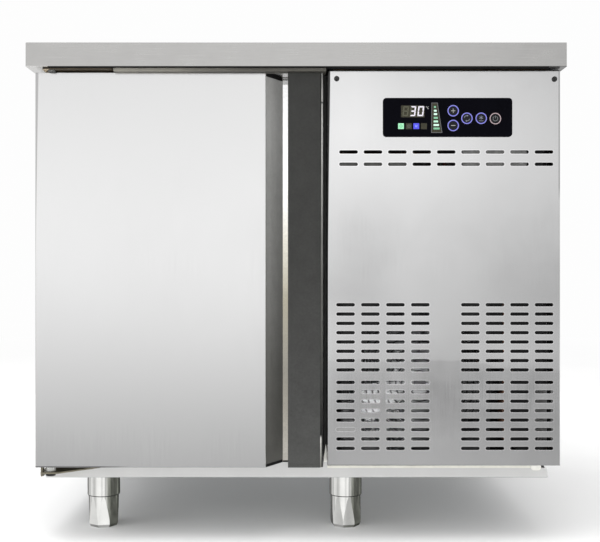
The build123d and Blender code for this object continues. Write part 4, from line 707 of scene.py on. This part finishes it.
for dark in (M["filter_mat"], M["shroud_dark"]):
    # painted light: a faint glow on these dark materials stands in for stray light inside the machine compartment
    db = next(n for n in dark.node_tree.nodes if n.type == "BSDF_PRINCIPLED")
    db.inputs["Emission Color"].default_value = (0.0105, 0.0105, 0.0108, 1)
    db.inputs["Emission Strength"].default_value = 1.0
M["cap_bright"] = surface("cap_bright", (0.80, 0.80, 0.79), 0.16, 1.0, mottle=60.0, mottle_amt=0.06,
                          rough_var=0.05, fine=(300.0, 0.15, 0.0001))
M["seal_black"] = surface("seal_black", (0.010, 0.010, 0.010), 0.80, 0.0, mottle=60.0, mottle_amt=0.2,
                          fine=(700.0, 0.5, 0.0002), spec=0.2)
M["foam"] = surface("foam", (0.83, 0.73, 0.46), 0.85, 0.0, mottle=60.0, mottle_amt=0.08,
                    fine=(700.0, 0.6, 0.0005), spec=0.2)
M["core_board"] = surface("core_board", (0.40, 0.30, 0.20), 0.80, 0.0, grain="x", grain_amt=0.2,
                          mottle=30.0, mottle_amt=0.12, fine=(500.0, 0.5, 0.0003), spec=0.25)
M["gasket_grey"] = surface("gasket_grey", (0.115, 0.115, 0.12), 0.62, 0.0, mottle=50.0, mottle_amt=0.12,
                           rough_var=0.08, fine=(800.0, 0.3, 0.00012), edge=0.8, edge_gain=0.08)
M["nylon_white"] = surface("nylon_white", (0.80, 0.79, 0.74), 0.38, 0.0, mottle=120.0, mottle_amt=0.04,
                           rough_var=0.06, fine=(900.0, 0.2, 0.00006), edge=0.4, edge_gain=0.0)
M["plastic_black"] = surface("plastic_black", (0.028, 0.028, 0.03), 0.42, 0.0, mottle=80.0, mottle_amt=0.15,
                             rough_var=0.06, fine=(1200.0, 0.35, 0.00008), edge=0.5, edge_gain=0.08)
M["faceplate_black"] = surface("faceplate_black", (0.0022, 0.0022, 0.0036), 0.10, 0.0, mottle=30.0,
                               mottle_amt=0.1, rough_var=0.02, edge=0.5, edge_gain=0.05, coat=0.0, spec=0.012)
M["lens_smoke"] = surface("lens_smoke", srgb(56, 55, 46), 0.20, 0.0, mottle=260.0, mottle_amt=0.06,
                          rough_var=0.03, edge=0.2, edge_gain=0.0, spec=0.04)
M["key_disc"] = surface("key_disc", srgb(30, 31, 33), 0.22, 0.0, mottle=260.0, mottle_amt=0.1, rough_var=0.03,
                        edge=0.2, edge_gain=0.0, spec=0.04)
M["circuit_green"] = surface("circuit_green", (0.012, 0.11, 0.04), 0.35, 0.0, mottle=180.0, mottle_amt=0.2,
                             fine=(900.0, 0.3, 0.0001), edge=0.4, edge_gain=0.1)
M["compressor_black"] = surface("compressor_black", (0.020, 0.020, 0.022), 0.33, 0.0, mottle=35.0,
                                mottle_amt=0.2, rough_var=0.1, fine=(420.0, 0.25, 0.0002), edge=0.8,
                                edge_gain=0.05, dust=0.12)
M["rubber_black"] = surface("rubber_black", (0.022, 0.022, 0.022), 0.78, 0.0, mottle=90.0, mottle_amt=0.2,
                            fine=(900.0, 0.4, 0.0002), spec=0.3, dust=0.15)
M["coil_aluminium"] = surface("coil_aluminium", (0.68, 0.69, 0.70), 0.33, 0.9, mottle=70.0, mottle_amt=0.06,
                              rough_var=0.08, fine=(300.0, 0.3, 0.0001), edge=0.3, edge_gain=0.1)
M["fan_aluminium"] = surface("fan_aluminium", (0.20, 0.203, 0.206), 0.48, 0.1, mottle=60.0, mottle_amt=0.05,
                             rough_var=0.08, fine=(260.0, 0.2, 0.0001), edge=0.5, edge_gain=0.1)
M["motor_steel"] = surface("motor_steel", (0.20, 0.20, 0.21), 0.45, 0.3, mottle=60.0, mottle_amt=0.12,
                           rough_var=0.08, fine=(800.0, 0.3, 0.0001), edge=0.5, edge_gain=0.15, dust=0.08)
M["guard_wire"] = surface("guard_wire", (0.022, 0.022, 0.023), 0.38, 0.0, mottle=120.0, mottle_amt=0.2,
                          rough_var=0.06, fine=(900.0, 0.2, 0.00005), edge=0.3, edge_gain=0.1)
M["copper"] = surface("copper", (0.80, 0.40, 0.24), 0.26, 1.0, mottle=45.0, mottle_amt=0.12, rough_var=0.10,
                      fine=(500.0, 0.15, 0.00005))
M["copper_drier"] = surface("copper_drier", (0.78, 0.42, 0.27), 0.34, 1.0, mottle=60.0, mottle_amt=0.15,
                            rough_var=0.10, fine=(500.0, 0.2, 0.00005))
M["pipe_grey"] = surface("pipe_grey", (0.50, 0.50, 0.49), 0.55, 0.0, mottle=60.0, mottle_amt=0.06,
                         fine=(500.0, 0.2, 0.0001))
M["tray_black"] = surface("tray_black", (0.04, 0.04, 0.044), 0.40, 0.0, mottle=60.0, mottle_amt=0.15,
                          fine=(900.0, 0.3, 0.00008), edge=0.5, edge_gain=0.1)
M["shelf_coated"] = surface("shelf_coated", (0.76, 0.76, 0.74), 0.35, 0.0, mottle=60.0, mottle_amt=0.04,
                            rough_var=0.06, fine=(500.0, 0.2, 0.00006))
M["polished_steel"] = surface("polished_steel", (0.80, 0.80, 0.79), 0.085, 1.0, mottle=30.0, mottle_amt=0.05,
                              rough_var=0.03, wave=(30.0, 0.35, 0.0006), edge=0.4, edge_gain=0.0)
M["pin_steel"] = surface("pin_steel", (0.40, 0.40, 0.39), 0.28, 1.0, mottle=200.0, mottle_amt=0.08,
                         rough_var=0.05, edge=0.3, edge_gain=0.2)

for sub in frame["record"]["subparts"]:
    o = nodes[sub["node"]]
    m = M[sub["material_slot"]]
    if sub["node"] == "door_skin":
        m = M["stainless_door"]
    if sub["node"] == "top_rail":
        m = M["rail_olive"]
    if sub["node"] == "condenser_shroud":
        m = M["shroud_dark"]
    if sub["node"] == "hinge_pins":
        m = M["screw_black"]
    if sub["node"] == "hinge_bushes":
        m = M["bush_grey"]
    if sub["node"] == "bottom_hinge_bracket":
        m = M["bracket_olive"]
    o.data.materials.clear()
    o.data.materials.append(m)

# ---------------------------------------------------------------------------
# Mesh helpers; sections are given in millimetres
# ---------------------------------------------------------------------------


def link(name, bm, body, mat, smooth=False):
    bmesh.ops.recalc_face_normals(bm, faces=bm.faces[:])
    mesh = bpy.data.meshes.new(name)
    bm.to_mesh(mesh)
    bm.free()
    for p in mesh.polygons:
        p.use_smooth = smooth
    o = bpy.data.objects.new(name, mesh)
    scene.collection.objects.link(o)
    mesh.materials.append(mat)
    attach(o, body)
    return o


def plate(bm, loop, y0, y1):
    """Closed prism from a loop of (x, z) points, between two Y planes."""
    front = [bm.verts.new((x * MM, y0 * MM, z * MM)) for x, z in loop]
    back = [bm.verts.new((x * MM, y1 * MM, z * MM)) for x, z in loop]
    bm.faces.new(front)
    bm.faces.new(back[::-1])
    n = len(loop)
    for i in range(n):
        bm.faces.new((front[i], back[i], back[(i + 1) % n], front[(i + 1) % n]))


def band(bm, outer, inner, y0, y1):
    """Closed ring between two loops of equally many (x, z) points."""
    rows = [[bm.verts.new((x * MM, y * MM, z * MM)) for x, z in loop]
            for loop, y in ((outer, y0), (inner, y0), (inner, y1), (outer, y1))]
    n = len(outer)
    for r in range(4):
        a, b = rows[r], rows[(r + 1) % 4]
        for i in range(n):
            bm.faces.new((a[i], a[(i + 1) % n], b[(i + 1) % n], b[i]))


def arc(cx, cz, r, a0, a1, n):
    return [(cx + r * math.cos(math.radians(a0 + (a1 - a0) * i / n)),
             cz + r * math.sin(math.radians(a0 + (a1 - a0) * i / n))) for i in range(n + 1)]


def circle(cx, cz, r, n=48):
    return arc(cx, cz, r, 0, 360, n)[:-1]


def ribbon(bm, pts, width, y0, y1):
    """Open stroke of one width along a polyline, as one closed solid."""
    h = width / 2.0
    lft, rgt = [], []
    n = len(pts)
    for i, (x, z) in enumerate(pts):
        dx0, dz0 = (pts[i][0] - pts[i - 1][0], pts[i][1] - pts[i - 1][1]) if i > 0 else (0, 0)
        dx1, dz1 = (pts[i + 1][0] - pts[i][0], pts[i + 1][1] - pts[i][1]) if i < n - 1 else (0, 0)
        for_len = []
        for dx, dz in ((dx0, dz0), (dx1, dz1)):
            l = math.hypot(dx, dz)
            if l > 1e-9:
                for_len.append((dx / l, dz / l))
        if len(for_len) == 2:
            tx, tz = for_len[0][0] + for_len[1][0], for_len[0][1] + for_len[1][1]
            l = math.hypot(tx, tz)
            tx, tz = tx / l, tz / l
            k = h / max(0.3, (tx * for_len[0][0] + tz * for_len[0][1]))
        else:
            tx, tz = for_len[0]
            k = h
        lft.append((x - tz * k, z + tx * k))
        rgt.append((x + tz * k, z - tx * k))
    for i in range(n - 1):
        pass
    va = [[bm.verts.new((p[0] * MM, y * MM, p[1] * MM)) for p in side] for side, y in
          ((lft, y0), (rgt, y0), (rgt, y1), (lft, y1))]
    for r in range(4):
        a, b = va[r], va[(r + 1) % 4]
        for i in range(n - 1):
            bm.faces.new((a[i], a[i + 1], b[i + 1], b[i]))
    bm.faces.new([va[r][0] for r in range(4)])
    bm.faces.new([va[r][-1] for r in range(3, -1, -1)])


def rounded(x0, x1, z0, z1, r, n=5):
    pts = []
    for cx, cz, a in ((x1 - r, z1 - r, 0), (x0 + r, z1 - r, 90), (x0 + r, z0 + r, 180), (x1 - r, z0 + r, 270)):
        pts += arc(cx, cz, r, a, a + 90, n)
    return pts


# ---------------------------------------------------------------------------
# Black sealing tape under the worktop's front edge, over the door and the panel; its black also serves as painted shade
# under the overhang
# ---------------------------------------------------------------------------


def bar_x(bm, section, x0, x1):
    """Closed bar along X from a (y, z) section."""
    a = [bm.verts.new((x0 * MM, y * MM, z * MM)) for y, z in section]
    b = [bm.verts.new((x1 * MM, y * MM, z * MM)) for y, z in section]
    bm.faces.new(a)
    bm.faces.new(b[::-1])
    n = len(section)
    for i in range(n):
        bm.faces.new((a[i], b[i], b[(i + 1) % n], a[(i + 1) % n]))


bm = bmesh.new()
bar_x(bm, [(-348.6, 800.1), (-348.9, 799.5), (-348.5, 799.3), (-341.0, 799.3), (-340.6, 799.6), (-340.6, 800.1)], -412.5, 50)
bar_x(bm, [(-348.6, 800.1), (-348.9, 799.5), (-348.5, 799.3), (-333.0, 799.3), (-332.6, 799.6), (-332.6, 800.1)], 50.6, 421)
bar_x(bm, [(-332.0, 800.05), (-332.0, 799.6), (-331.6, 799.4), (-262.4, 799.4), (-262.0, 799.6), (-262.0, 800.05)], 50.6, 62)
link("seal_and_shade_under_worktop", bm, "cabinet", M["seal_black"])


def prism_z(bm, loop, z0, z1):
    """Closed upright prism from a loop of (x, y) points."""
    a = [bm.verts.new((x * MM, y * MM, z0 * MM)) for x, y in loop]
    b = [bm.verts.new((x * MM, y * MM, z1 * MM)) for x, y in loop]
    bm.faces.new(a)
    bm.faces.new(b[::-1])
    n = len(loop)
    for i in range(n):
        bm.faces.new((a[i], b[i], b[(i + 1) % n], a[(i + 1) % n]))


def along_wall(u, off):
    """Point in plan on the slanted recess wall: u from its front edge (0) to its rear edge (1)."""
    x = -51.8 + 28.2 * u + 0.855 * off
    y = -328.0 + 46.5 * u - 0.518 * off
    return (x, y)


# end trims of the grip recess: black strips on the slanted wall, a bright cap at the top
bm = bmesh.new()
prism_z(bm, [along_wall(0.03, -0.1), along_wall(0.03, 0.5), along_wall(0.05, 0.7), along_wall(0.97, 0.7), along_wall(0.985, 0.1), along_wall(0.985, -0.1)], 788.2, 793.2)
prism_z(bm, [along_wall(0.03, -0.1), along_wall(0.03, 0.5), along_wall(0.05, 0.7), along_wall(0.97, 0.7), along_wall(0.985, 0.1), along_wall(0.985, -0.1)], 129.3, 134.0)
prism_z(bm, [(-23.2, -281.4), (-23.2, -281.9), (40.5, -281.9), (40.5, -281.4)], 129.3, 132.0)
link("recess_end_strips", bm, "door", M["seal_black"])
bm = bmesh.new()
prism_z(bm, [(-22.8, -281.4), (-22.6, -281.8), (40.3, -281.8), (40.5, -281.4)], 791.3, 792.1)
prism_z(bm, [(-25.4, -292.6), (40.5, -292.6), (40.5, -289.0), (-23.4, -289.0)], 792.3, 793.1)
link("recess_back_lines", bm, "door", M["rail_olive"])
bm = bmesh.new()
prism_z(bm, [along_wall(0.04, 0.75), (40.9, -326.2), (40.9, -282.0), (-22.6, -282.0)], 792.9, 793.8)
link("recess_top_cap", bm, "door", M["cap_bright"])

# strip at the bottom of the gap between the door and the machine panel; its dark colour is painted shade that keeps the
# gap dark
bm = bmesh.new()
prism_z(bm, [(46.9, -284.0), (47.6, -285.4), (51.6, -285.4), (52.6, -284.0), (52.6, -262.2), (50.4, -262.2), (46.9, -264.0)], 131.0, 797.5)
M["gap_black"] = surface("gap_black", (0.034, 0.034, 0.033), 0.80, 0.0, mottle=60.0, mottle_amt=0.2,
                         fine=(700.0, 0.5, 0.0002), spec=0.2)
link("gap_strip", bm, "cabinet", M["gap_black"])
# painted light: a pale wedge at the foot of the gap
bm = bmesh.new()
plate(bm, [(47.0, 131.2), (52.4, 131.2), (52.4, 148.0), (51.6, 158.0), (50.8, 162.0), (50.0, 158.0), (49.0, 150.0), (47.0, 138.0)],
      -291.0, -288.4)
link("gap_wedge", bm, "cabinet", M["nylon_white"])
# small grey packing piece over the door's top left corner
bm = bmesh.new()
prism_z(bm, [(-417.0, -334.0), (-415.0, -338.6), (-407.0, -339.2), (-405.0, -336.0), (-405.4, -325.0), (-416.4, -325.0)], 794.5, 796.9)
M["packing_grey"] = surface("packing_grey", (0.11, 0.11, 0.105), 0.5, 0.0, mottle=120.0, mottle_amt=0.10,
                            rough_var=0.06, fine=(700.0, 0.3, 0.0001))
link("hinge_packing", bm, "cabinet", M["packing_grey"])
# soft strip between the panel's right fold and the machine side panel
bm = bmesh.new()
prism_z(bm, [(439.3, -261.9), (443.7, -261.9), (443.7, -260.3), (442.6, -259.4), (440.2, -259.4), (440.2, -260.2), (439.3, -261.0)], 134.0, 797.0)
link("panel_side_seal", bm, "cabinet", M["seal_black"])

# dust filter mats behind the vents, and the dark lining of the machine side
bm = bmesh.new()
prism_z(bm, [(52, 335.0), (418, 335.0), (418, 338.6), (52, 338.6)], 205.0, 640.0)
link("rear_filter_mat", bm, "cabinet", M["filter_mat"])
bm = bmesh.new()
prism_z(bm, [(434.2, -232.0), (438.7, -234.0), (438.7, 331.0), (434.2, 331.0)], 104.0, 780.0)
link("side_lining", bm, "cabinet", M["filter_mat"])

# pale label plate close behind one slot of the machine panel
bm = bmesh.new()
plate(bm, rounded(65.0, 100.5, 188.4, 198.6, 1.5, 3), -329.6, -328.8)
M["label_grey"] = surface("label_grey", (0.26, 0.26, 0.257), 0.5, 0.0, mottle=90.0, mottle_amt=0.06,
                          fine=(600.0, 0.2, 0.0001))
link("backing_plate", bm, "cabinet", M["label_grey"])

# zinc wiring tray close behind the upper slots at the right, and a short dull strip at the left
M["tray_zinc"] = surface("tray_zinc", (0.235, 0.235, 0.23), 0.55, 0.2, mottle=160.0, mottle_amt=0.28, rough_var=0.08,
                         fine=(90.0, 0.2, 0.0002), edge=0.4, edge_gain=0.1)
M["strip_dull"] = surface("strip_dull", (0.105, 0.105, 0.10), 0.6, 0.1, mottle=120.0, mottle_amt=0.35, rough_var=0.08,
                          fine=(300.0, 0.3, 0.0001))
bm = bmesh.new()
bar_x(bm, [(-329.7, 682.5), (-329.0, 682.5), (-329.0, 676.0), (-322.4, 675.2), (-321.9, 674.6), (-321.9, 623.4),
           (-322.4, 622.8), (-329.0, 622.0), (-329.0, 616.0), (-329.7, 616.0), (-329.7, 622.6), (-323.1, 623.6),
           (-322.9, 624.0), (-322.9, 674.0), (-323.1, 674.4), (-329.7, 675.4)], 281.0, 389.0)
link("wiring_tray", bm, "cabinet", M["tray_zinc"])
bm = bmesh.new()
bar_x(bm, [(-329.7, 655.5), (-328.9, 655.5), (-328.9, 650.8), (-324.0, 650.2), (-323.4, 649.6), (-323.4, 628.4),
           (-324.0, 627.8), (-328.9, 627.0), (-328.9, 623.0), (-329.7, 623.0), (-329.7, 627.6), (-324.6, 628.6),
           (-324.2, 629.0), (-324.2, 649.0), (-324.6, 649.4), (-329.7, 650.4)], 70.0, 185.0)
link("stiffening_strip", bm, "cabinet", M["strip_dull"])

# cream edge strip under the panel, and the small black stop at its right end
bm = bmesh.new()
bar_x(bm, [(-267.0, 115.8), (-267.5, 116.1), (-267.5, 126.4), (-267.0, 126.8)], 54.0, 409.0)
link("cream_edge", bm, "cabinet", M["cream_film"])
bm = bmesh.new()
plate(bm, [(427.7, 121.5), (430.0, 121.5), (430.0, 118.2), (433.6, 117.6), (433.6, 116.4), (427.7, 116.4)], -267.0, -262.0)
link("corner_stop", bm, "cabinet", M["rubber_black"])

# painted shade: a thin dark ring at the lower end of each leg sleeve, for the shade in the gap round the foot
bm = bmesh.new()
for lx, ly in ((-350.0, -200.0), (89.0, -200.0), (-350.0, 285.0), (375.0, 285.0)):
    rows = []
    for r, z in ((27.12, 57.0), (27.12, 55.7), (28.2, 55.5), (28.7, 56.0), (28.8, 57.0)):
        rows.append([bm.verts.new(((lx + r * math.cos(2 * math.pi * k / 72)) * MM, (ly + r * math.sin(2 * math.pi * k / 72)) * MM, z * MM))
                     for k in range(72)])
    for q in range(5):
        a, b2 = rows[q], rows[(q + 1) % 5]
        for k in range(72):
            bm.faces.new((a[k], a[(k + 1) % 72], b2[(k + 1) % 72], b2[k]))
link("sleeve_lower_rings", bm, "cabinet", M["rubber_black"], smooth=True)



def screw_head(bm, at, axis, r=3.6):
    """Domed head with a six-sided socket, its axis along +X or +Y from the point given in mm."""
    rows = []
    n = 36
    for rad, h, hexed in ((0.02, 0.5, True), (0.36, 0.5, True), (0.38, 1.42, True), (0.62, 1.36, False), (0.85, 0.95, False),
                          (0.97, 0.42, False), (1.0, 0.0, False)):
        row = []
        for k in range(n):
            a = 2 * math.pi * k / n
            q = rad * r
            if hexed:
                q *= math.cos(math.pi / 6) / math.cos((a % (math.pi / 3)) - math.pi / 6)
            u, v = q * math.cos(a), q * math.sin(a)
            px, py, pz = (at[0] + u, at[1] + h, at[2] + v) if axis == "y" else (at[0] + h, at[1] + u, at[2] + v)
            row.append(bm.verts.new((px * MM, py * MM, pz * MM)))
        rows.append(row)
    for q in range(len(rows) - 1):
        for k in range(n):
            bm.faces.new((rows[q][k], rows[q][(k + 1) % n], rows[q + 1][(k + 1) % n], rows[q + 1][k]))
    bm.faces.new(rows[0])
    bm.faces.new(rows[-1][::-1])


# screws that hold the rear grille and the machine side panel
M["screw_zinc"] = surface("screw_zinc", (0.50, 0.51, 0.52), 0.34, 1.0, mottle=220.0, mottle_amt=0.08,
                          rough_var=0.05, fine=(900.0, 0.2, 0.00005), edge=0.2, edge_gain=0.1)
bm = bmesh.new()
for sx_mm, sz_mm in ((58.0, 770.0), (58.0, 560.0), (58.0, 340.0), (58.0, 130.0), (410.0, 770.0), (410.0, 560.0), (410.0, 340.0), (410.0, 118.0)):
    screw_head(bm, (sx_mm, CAB_BACK - 0.05, sz_mm), "y")
link("rear_grille_screws", bm, "cabinet", M["screw_zinc"], smooth=True)
bm = bmesh.new()
for sy_mm, sz_mm in ((-240.0, 772.0), (40.0, 772.0), (318.0, 772.0), (-200.0, 122.0), (40.0, 118.0), (318.0, 118.0)):
    screw_head(bm, (CAB_SIDE - 0.05, sy_mm, sz_mm), "x", 3.2)
link("side_panel_screws", bm, "cabinet", M["screw_zinc"], smooth=True)

# ---------------------------------------------------------------------------
# Controller graphics: thin lit shapes on the lenses and the faceplate
# ---------------------------------------------------------------------------
LENS_Y = -333.9
PLATE_Y = -334.0
SLANT = math.tan(math.radians(6.4))


def seg_digit(bm, x0, z0, wid, hei, th, segs, y0, y1):
    """Seven-segment digit with mitred ends; x0, z0 is the lower left corner."""
    g = 0.22
    h2 = hei / 2.0
    shapes = {
        "a": [(g, hei), (wid - g, hei), (wid - th - g, hei - th), (th + g, hei - th)],
        "d": [(g, 0), (th + g, th), (wid - th - g, th), (wid - g, 0)],
        "b": [(wid, hei - g), (wid, h2 + g * 0.7), (wid - th / 2, h2 + g * 0.7), (wid - th, h2 + th / 2 + g), (wid - th, hei - th - g)],
        "c": [(wid, g), (wid - th, th + g), (wid - th, h2 - th / 2 - g), (wid - th / 2, h2 - g * 0.7), (wid, h2 - g * 0.7)],
        "f": [(0, hei - g), (th, hei - th - g), (th, h2 + th / 2 + g), (th / 2, h2 + g * 0.7), (0, h2 + g * 0.7)],
        "e": [(0, g), (0, h2 - g * 0.7), (th / 2, h2 - g * 0.7), (th, h2 - th / 2 - g), (th, th + g)],
        "g": [(th / 2 + g * 1.4, h2), (th + g * 1.2, h2 + th / 2), (wid - th - g * 1.2, h2 + th / 2),
              (wid - th / 2 - g * 1.4, h2), (wid - th - g * 1.2, h2 - th / 2), (th + g * 1.2, h2 - th / 2)],
    }
    for s in segs:
        loop = [(x0 + px + (pz) * SLANT, z0 + pz) for px, pz in shapes[s]]
        plate(bm, loop, y0, y1)


led_white = glow("led_white", srgb(236, 231, 242), 1.0, var=0.05)
# painted light: the unlit digit segments glow faintly
led_off = glow("led_off", srgb(50, 50, 38), 0.45, var=0.1, base=srgb(60, 60, 45))
mark_grey = glow("mark_grey", srgb(170, 170, 166), 1.0, var=0.06)
outline_grey = glow("outline_grey", srgb(66, 66, 70), 1.0, var=0.08)
ring_blue = glow("ring_blue", srgb(126, 126, 226), 1.0, var=0.06)
ring_deep = glow("ring_deep", srgb(66, 62, 190), 1.0, var=0.06)
ring_rose = glow("ring_rose", srgb(188, 164, 168), 1.0, var=0.06)
lamp_green = glow("lamp_green", srgb(160, 240, 190), 1.0, var=0.05)
lamp_mark = glow("lamp_mark", srgb(96, 190, 130), 1.0, var=0.05)
lamp_blue = glow("lamp_blue", srgb(24, 22, 232), 1.0, var=0.05)
lamp_pale = glow("lamp_pale", srgb(150, 175, 248), 1.0, var=0.05)
lamp_dim = glow("lamp_dim", srgb(66, 66, 62), 0.5, var=0.1, base=srgb(66, 66, 62))
bar_bright = glow("bar_bright", srgb(216, 255, 236), 1.0, var=0.04)
bar_mint = glow("bar_mint", srgb(186, 240, 212), 1.0, var=0.04)
bar_dim = glow("bar_dim", srgb(118, 190, 150), 1.0, var=0.06)
icon_grey = glow("icon_grey", srgb(112, 117, 134), 1.0, var=0.06)
icon_warm = glow("icon_warm", srgb(104, 108, 108), 1.0, var=0.06)

bm = bmesh.new()
seg_digit(bm, 190.4, 719.9, 9.2, 16.8, 2.3, "abcdg", LENS_Y - 0.12, LENS_Y + 0.05)
seg_digit(bm, 203.1, 719.9, 9.9, 16.8, 2.3, "abcdef", LENS_Y - 0.12, LENS_Y + 0.05)
link("digits_lit", bm, "cabinet", led_white)
bm = bmesh.new()
seg_digit(bm, 178.0, 719.9, 9.6, 16.8, 2.3, "abcdefg", LENS_Y - 0.08, LENS_Y + 0.05)
seg_digit(bm, 190.4, 719.9, 9.2, 16.8, 2.3, "ef", LENS_Y - 0.08, LENS_Y + 0.05)
link("digits_unlit", bm, "cabinet", led_off)

# degree ring and letter C
bm = bmesh.new()
band(bm, circle(218.4, 735.5, 0.95, 20), circle(218.4, 735.5, 0.45, 20), PLATE_Y - 0.08, PLATE_Y + 0.05)
ribbon(bm, arc(221.6, 733.9, 1.6, 50, 310, 18), 0.62, PLATE_Y - 0.08, PLATE_Y + 0.05)
link("degree_mark", bm, "cabinet", mark_grey)

# three indicator lamps
bm = bmesh.new()
plate(bm, rounded(171.0, 180.6, 698.3, 707.9, 0.6, 3), LENS_Y - 0.06, LENS_Y + 0.05)
link("lamp_run", bm, "cabinet", lamp_green)
bm = bmesh.new()
band(bm, circle(175.8, 703.1, 2.9, 28), circle(175.8, 703.1, 1.9, 28), LENS_Y - 0.14, LENS_Y - 0.02)
plate(bm, circle(175.8, 703.1, 1.0, 16), LENS_Y - 0.14, LENS_Y - 0.02)
link("lamp_run_mark", bm, "cabinet", lamp_mark)
bm = bmesh.new()
band(bm, circle(188.9, 703.1, 2.8, 28), circle(188.9, 703.1, 2.0, 28), LENS_Y - 0.06, LENS_Y + 0.05)
ribbon(bm, [(188.9, 701.6), (188.9, 704.8)], 0.8, LENS_Y - 0.06, LENS_Y + 0.05)
link("lamp_heat_mark", bm, "cabinet", lamp_dim)
bm = bmesh.new()
plate(bm, rounded(196.6, 206.2, 698.3, 707.9, 0.6, 3), LENS_Y - 0.06, LENS_Y + 0.05)
link("lamp_fan", bm, "cabinet", lamp_blue)
bm = bmesh.new()
for k in range(4):
    a = 90 * k + 20
    pts = arc(201.4, 703.1, 2.3, a, a + 38, 6) + [(201.4 + 0.6 * math.cos(math.radians(a + 60)), 703.1 + 0.6 * math.sin(math.radians(a + 60))),
                                                  (201.4 + 0.6 * math.cos(math.radians(a - 10)), 703.1 + 0.6 * math.sin(math.radians(a - 10)))]
    plate(bm, pts, LENS_Y - 0.14, LENS_Y - 0.02)
link("lamp_fan_mark", bm, "cabinet", lamp_pale)

# level meter: outline and seven bars
bm = bmesh.new()
outer = [(226.9, 742.4), (237.5, 742.4), (237.8, 738.9), (245.1, 691.8), (226.4, 691.8)]
inner = [(227.9, 741.4), (236.6, 741.4), (236.8, 738.8), (243.9, 692.8), (227.4, 692.8)]
band(bm, outer, inner, PLATE_Y - 0.06, PLATE_Y + 0.02)
link("meter_outline", bm, "cabinet", outline_grey)
bars = [(735.2, 234.4, bar_dim), (729.0, 235.6, bar_bright), (723.3, 236.5, bar_bright), (717.0, 237.6, bar_dim),
        (711.0, 238.0, bar_mint), (705.0, 239.5, bar_bright), (699.2, 240.6, bar_dim)]
for i, (z, x1, m) in enumerate(bars):
    bm = bmesh.new()
    plate(bm, rounded(231.2 - 0.16 * i, x1, z - 1.6, z + 1.6, 0.5, 3), LENS_Y - 0.06, LENS_Y + 0.05)
    link("meter_bar_%d" % (7 - i), bm, "cabinet", m)
bm = bmesh.new()
for x in (232.4, 235.6, 238.8):
    plate(bm, circle(x, 699.0, 0.75, 14), LENS_Y - 0.12, LENS_Y - 0.02)
link("meter_dots", bm, "cabinet", lamp_mark)

# ring keys
KEYS = {"plus": (263.4, 728.9), "minus": (263.4, 704.2), "cycle": (286.4, 716.3), "fan": (310.4, 716.3),
        "power": (334.2, 715.8)}
for k, (x, z) in KEYS.items():
    bm = bmesh.new()
    band(bm, circle(x, z, 9.5, 72), circle(x, z, 8.3, 72), PLATE_Y - 0.08, LENS_Y + 0.05)
    link("key_ring_" + k, bm, "cabinet", ring_rose if k == "power" else ring_blue)
    if k != "power":
        bm = bmesh.new()
        band(bm, circle(x, z, 8.3, 72), circle(x, z, 7.8, 72), PLATE_Y - 0.05, LENS_Y + 0.05)
        link("key_glow_" + k, bm, "cabinet", ring_deep)
Y0, Y1 = LENS_Y - 0.1, LENS_Y + 0.05
bm = bmesh.new()
x, z = KEYS["plus"]
cross = []
for (dx, dz) in ((0.44, 3.6), (-0.44, 3.6), (-0.44, 0.44), (-3.6, 0.44), (-3.6, -0.44), (-0.44, -0.44), (-0.44, -3.6),
                 (0.44, -3.6), (0.44, -0.44), (3.6, -0.44), (3.6, 0.44), (0.44, 0.44)):
    cross.append((x + dx, z + dz))
plate(bm, cross, Y0, Y1)
link("icon_plus", bm, "cabinet", mark_grey)
bm = bmesh.new()
x, z = KEYS["minus"]
plate(bm, rounded(x - 3.6, x + 3.6, z - 0.52, z + 0.52, 0.25, 3), Y0, Y1)
link("icon_minus", bm, "cabinet", mark_grey)
bm = bmesh.new()
x, z = KEYS["cycle"]
ribbon(bm, arc(x - 0.4, z + 0.6, 3.9, 175, 75, 12), 0.9, Y0, Y1)
plate(bm, [(x + 2.6, z + 4.2), (x + 0.3, z + 6.0), (x + 0.1, z + 2.9)], Y0, Y1)
ribbon(bm, arc(x + 0.4, z - 0.6, 3.9, -5, -105, 12), 0.9, Y0, Y1)
plate(bm, [(x - 2.6, z - 4.2), (x - 0.3, z - 6.0), (x - 0.1, z - 2.9)], Y0, Y1)
link("icon_cycle", bm, "cabinet", icon_grey)
bm = bmesh.new()
x, z = KEYS["fan"]
for a in (0, 60, 120):
    ca, sa = math.cos(math.radians(a + 90)), math.sin(math.radians(a + 90))
    ribbon(bm, [(x - 3.3 * ca, z + 1.0 - 3.3 * sa), (x + 3.3 * ca, z + 1.0 + 3.3 * sa)], 0.8,
           Y0 - 0.02 * (a // 60), Y1)
ribbon(bm, [(x - 3.6, z - 4.2), (x + 3.6, z - 4.2)], 0.8, Y0, Y1)
link("icon_frost", bm, "cabinet", icon_grey)
bm = bmesh.new()
x, z = KEYS["power"]
ribbon(bm, arc(x, z, 3.9, 118, 422, 36), 0.8, Y0, Y1)
ribbon(bm, [(x, z + 0.4), (x, z + 5.0)], 0.85, Y0, Y1)
link("icon_power", bm, "cabinet", icon_warm)

# ---------------------------------------------------------------------------
# View layer update
# ---------------------------------------------------------------------------
bpy.context.view_layer.update()
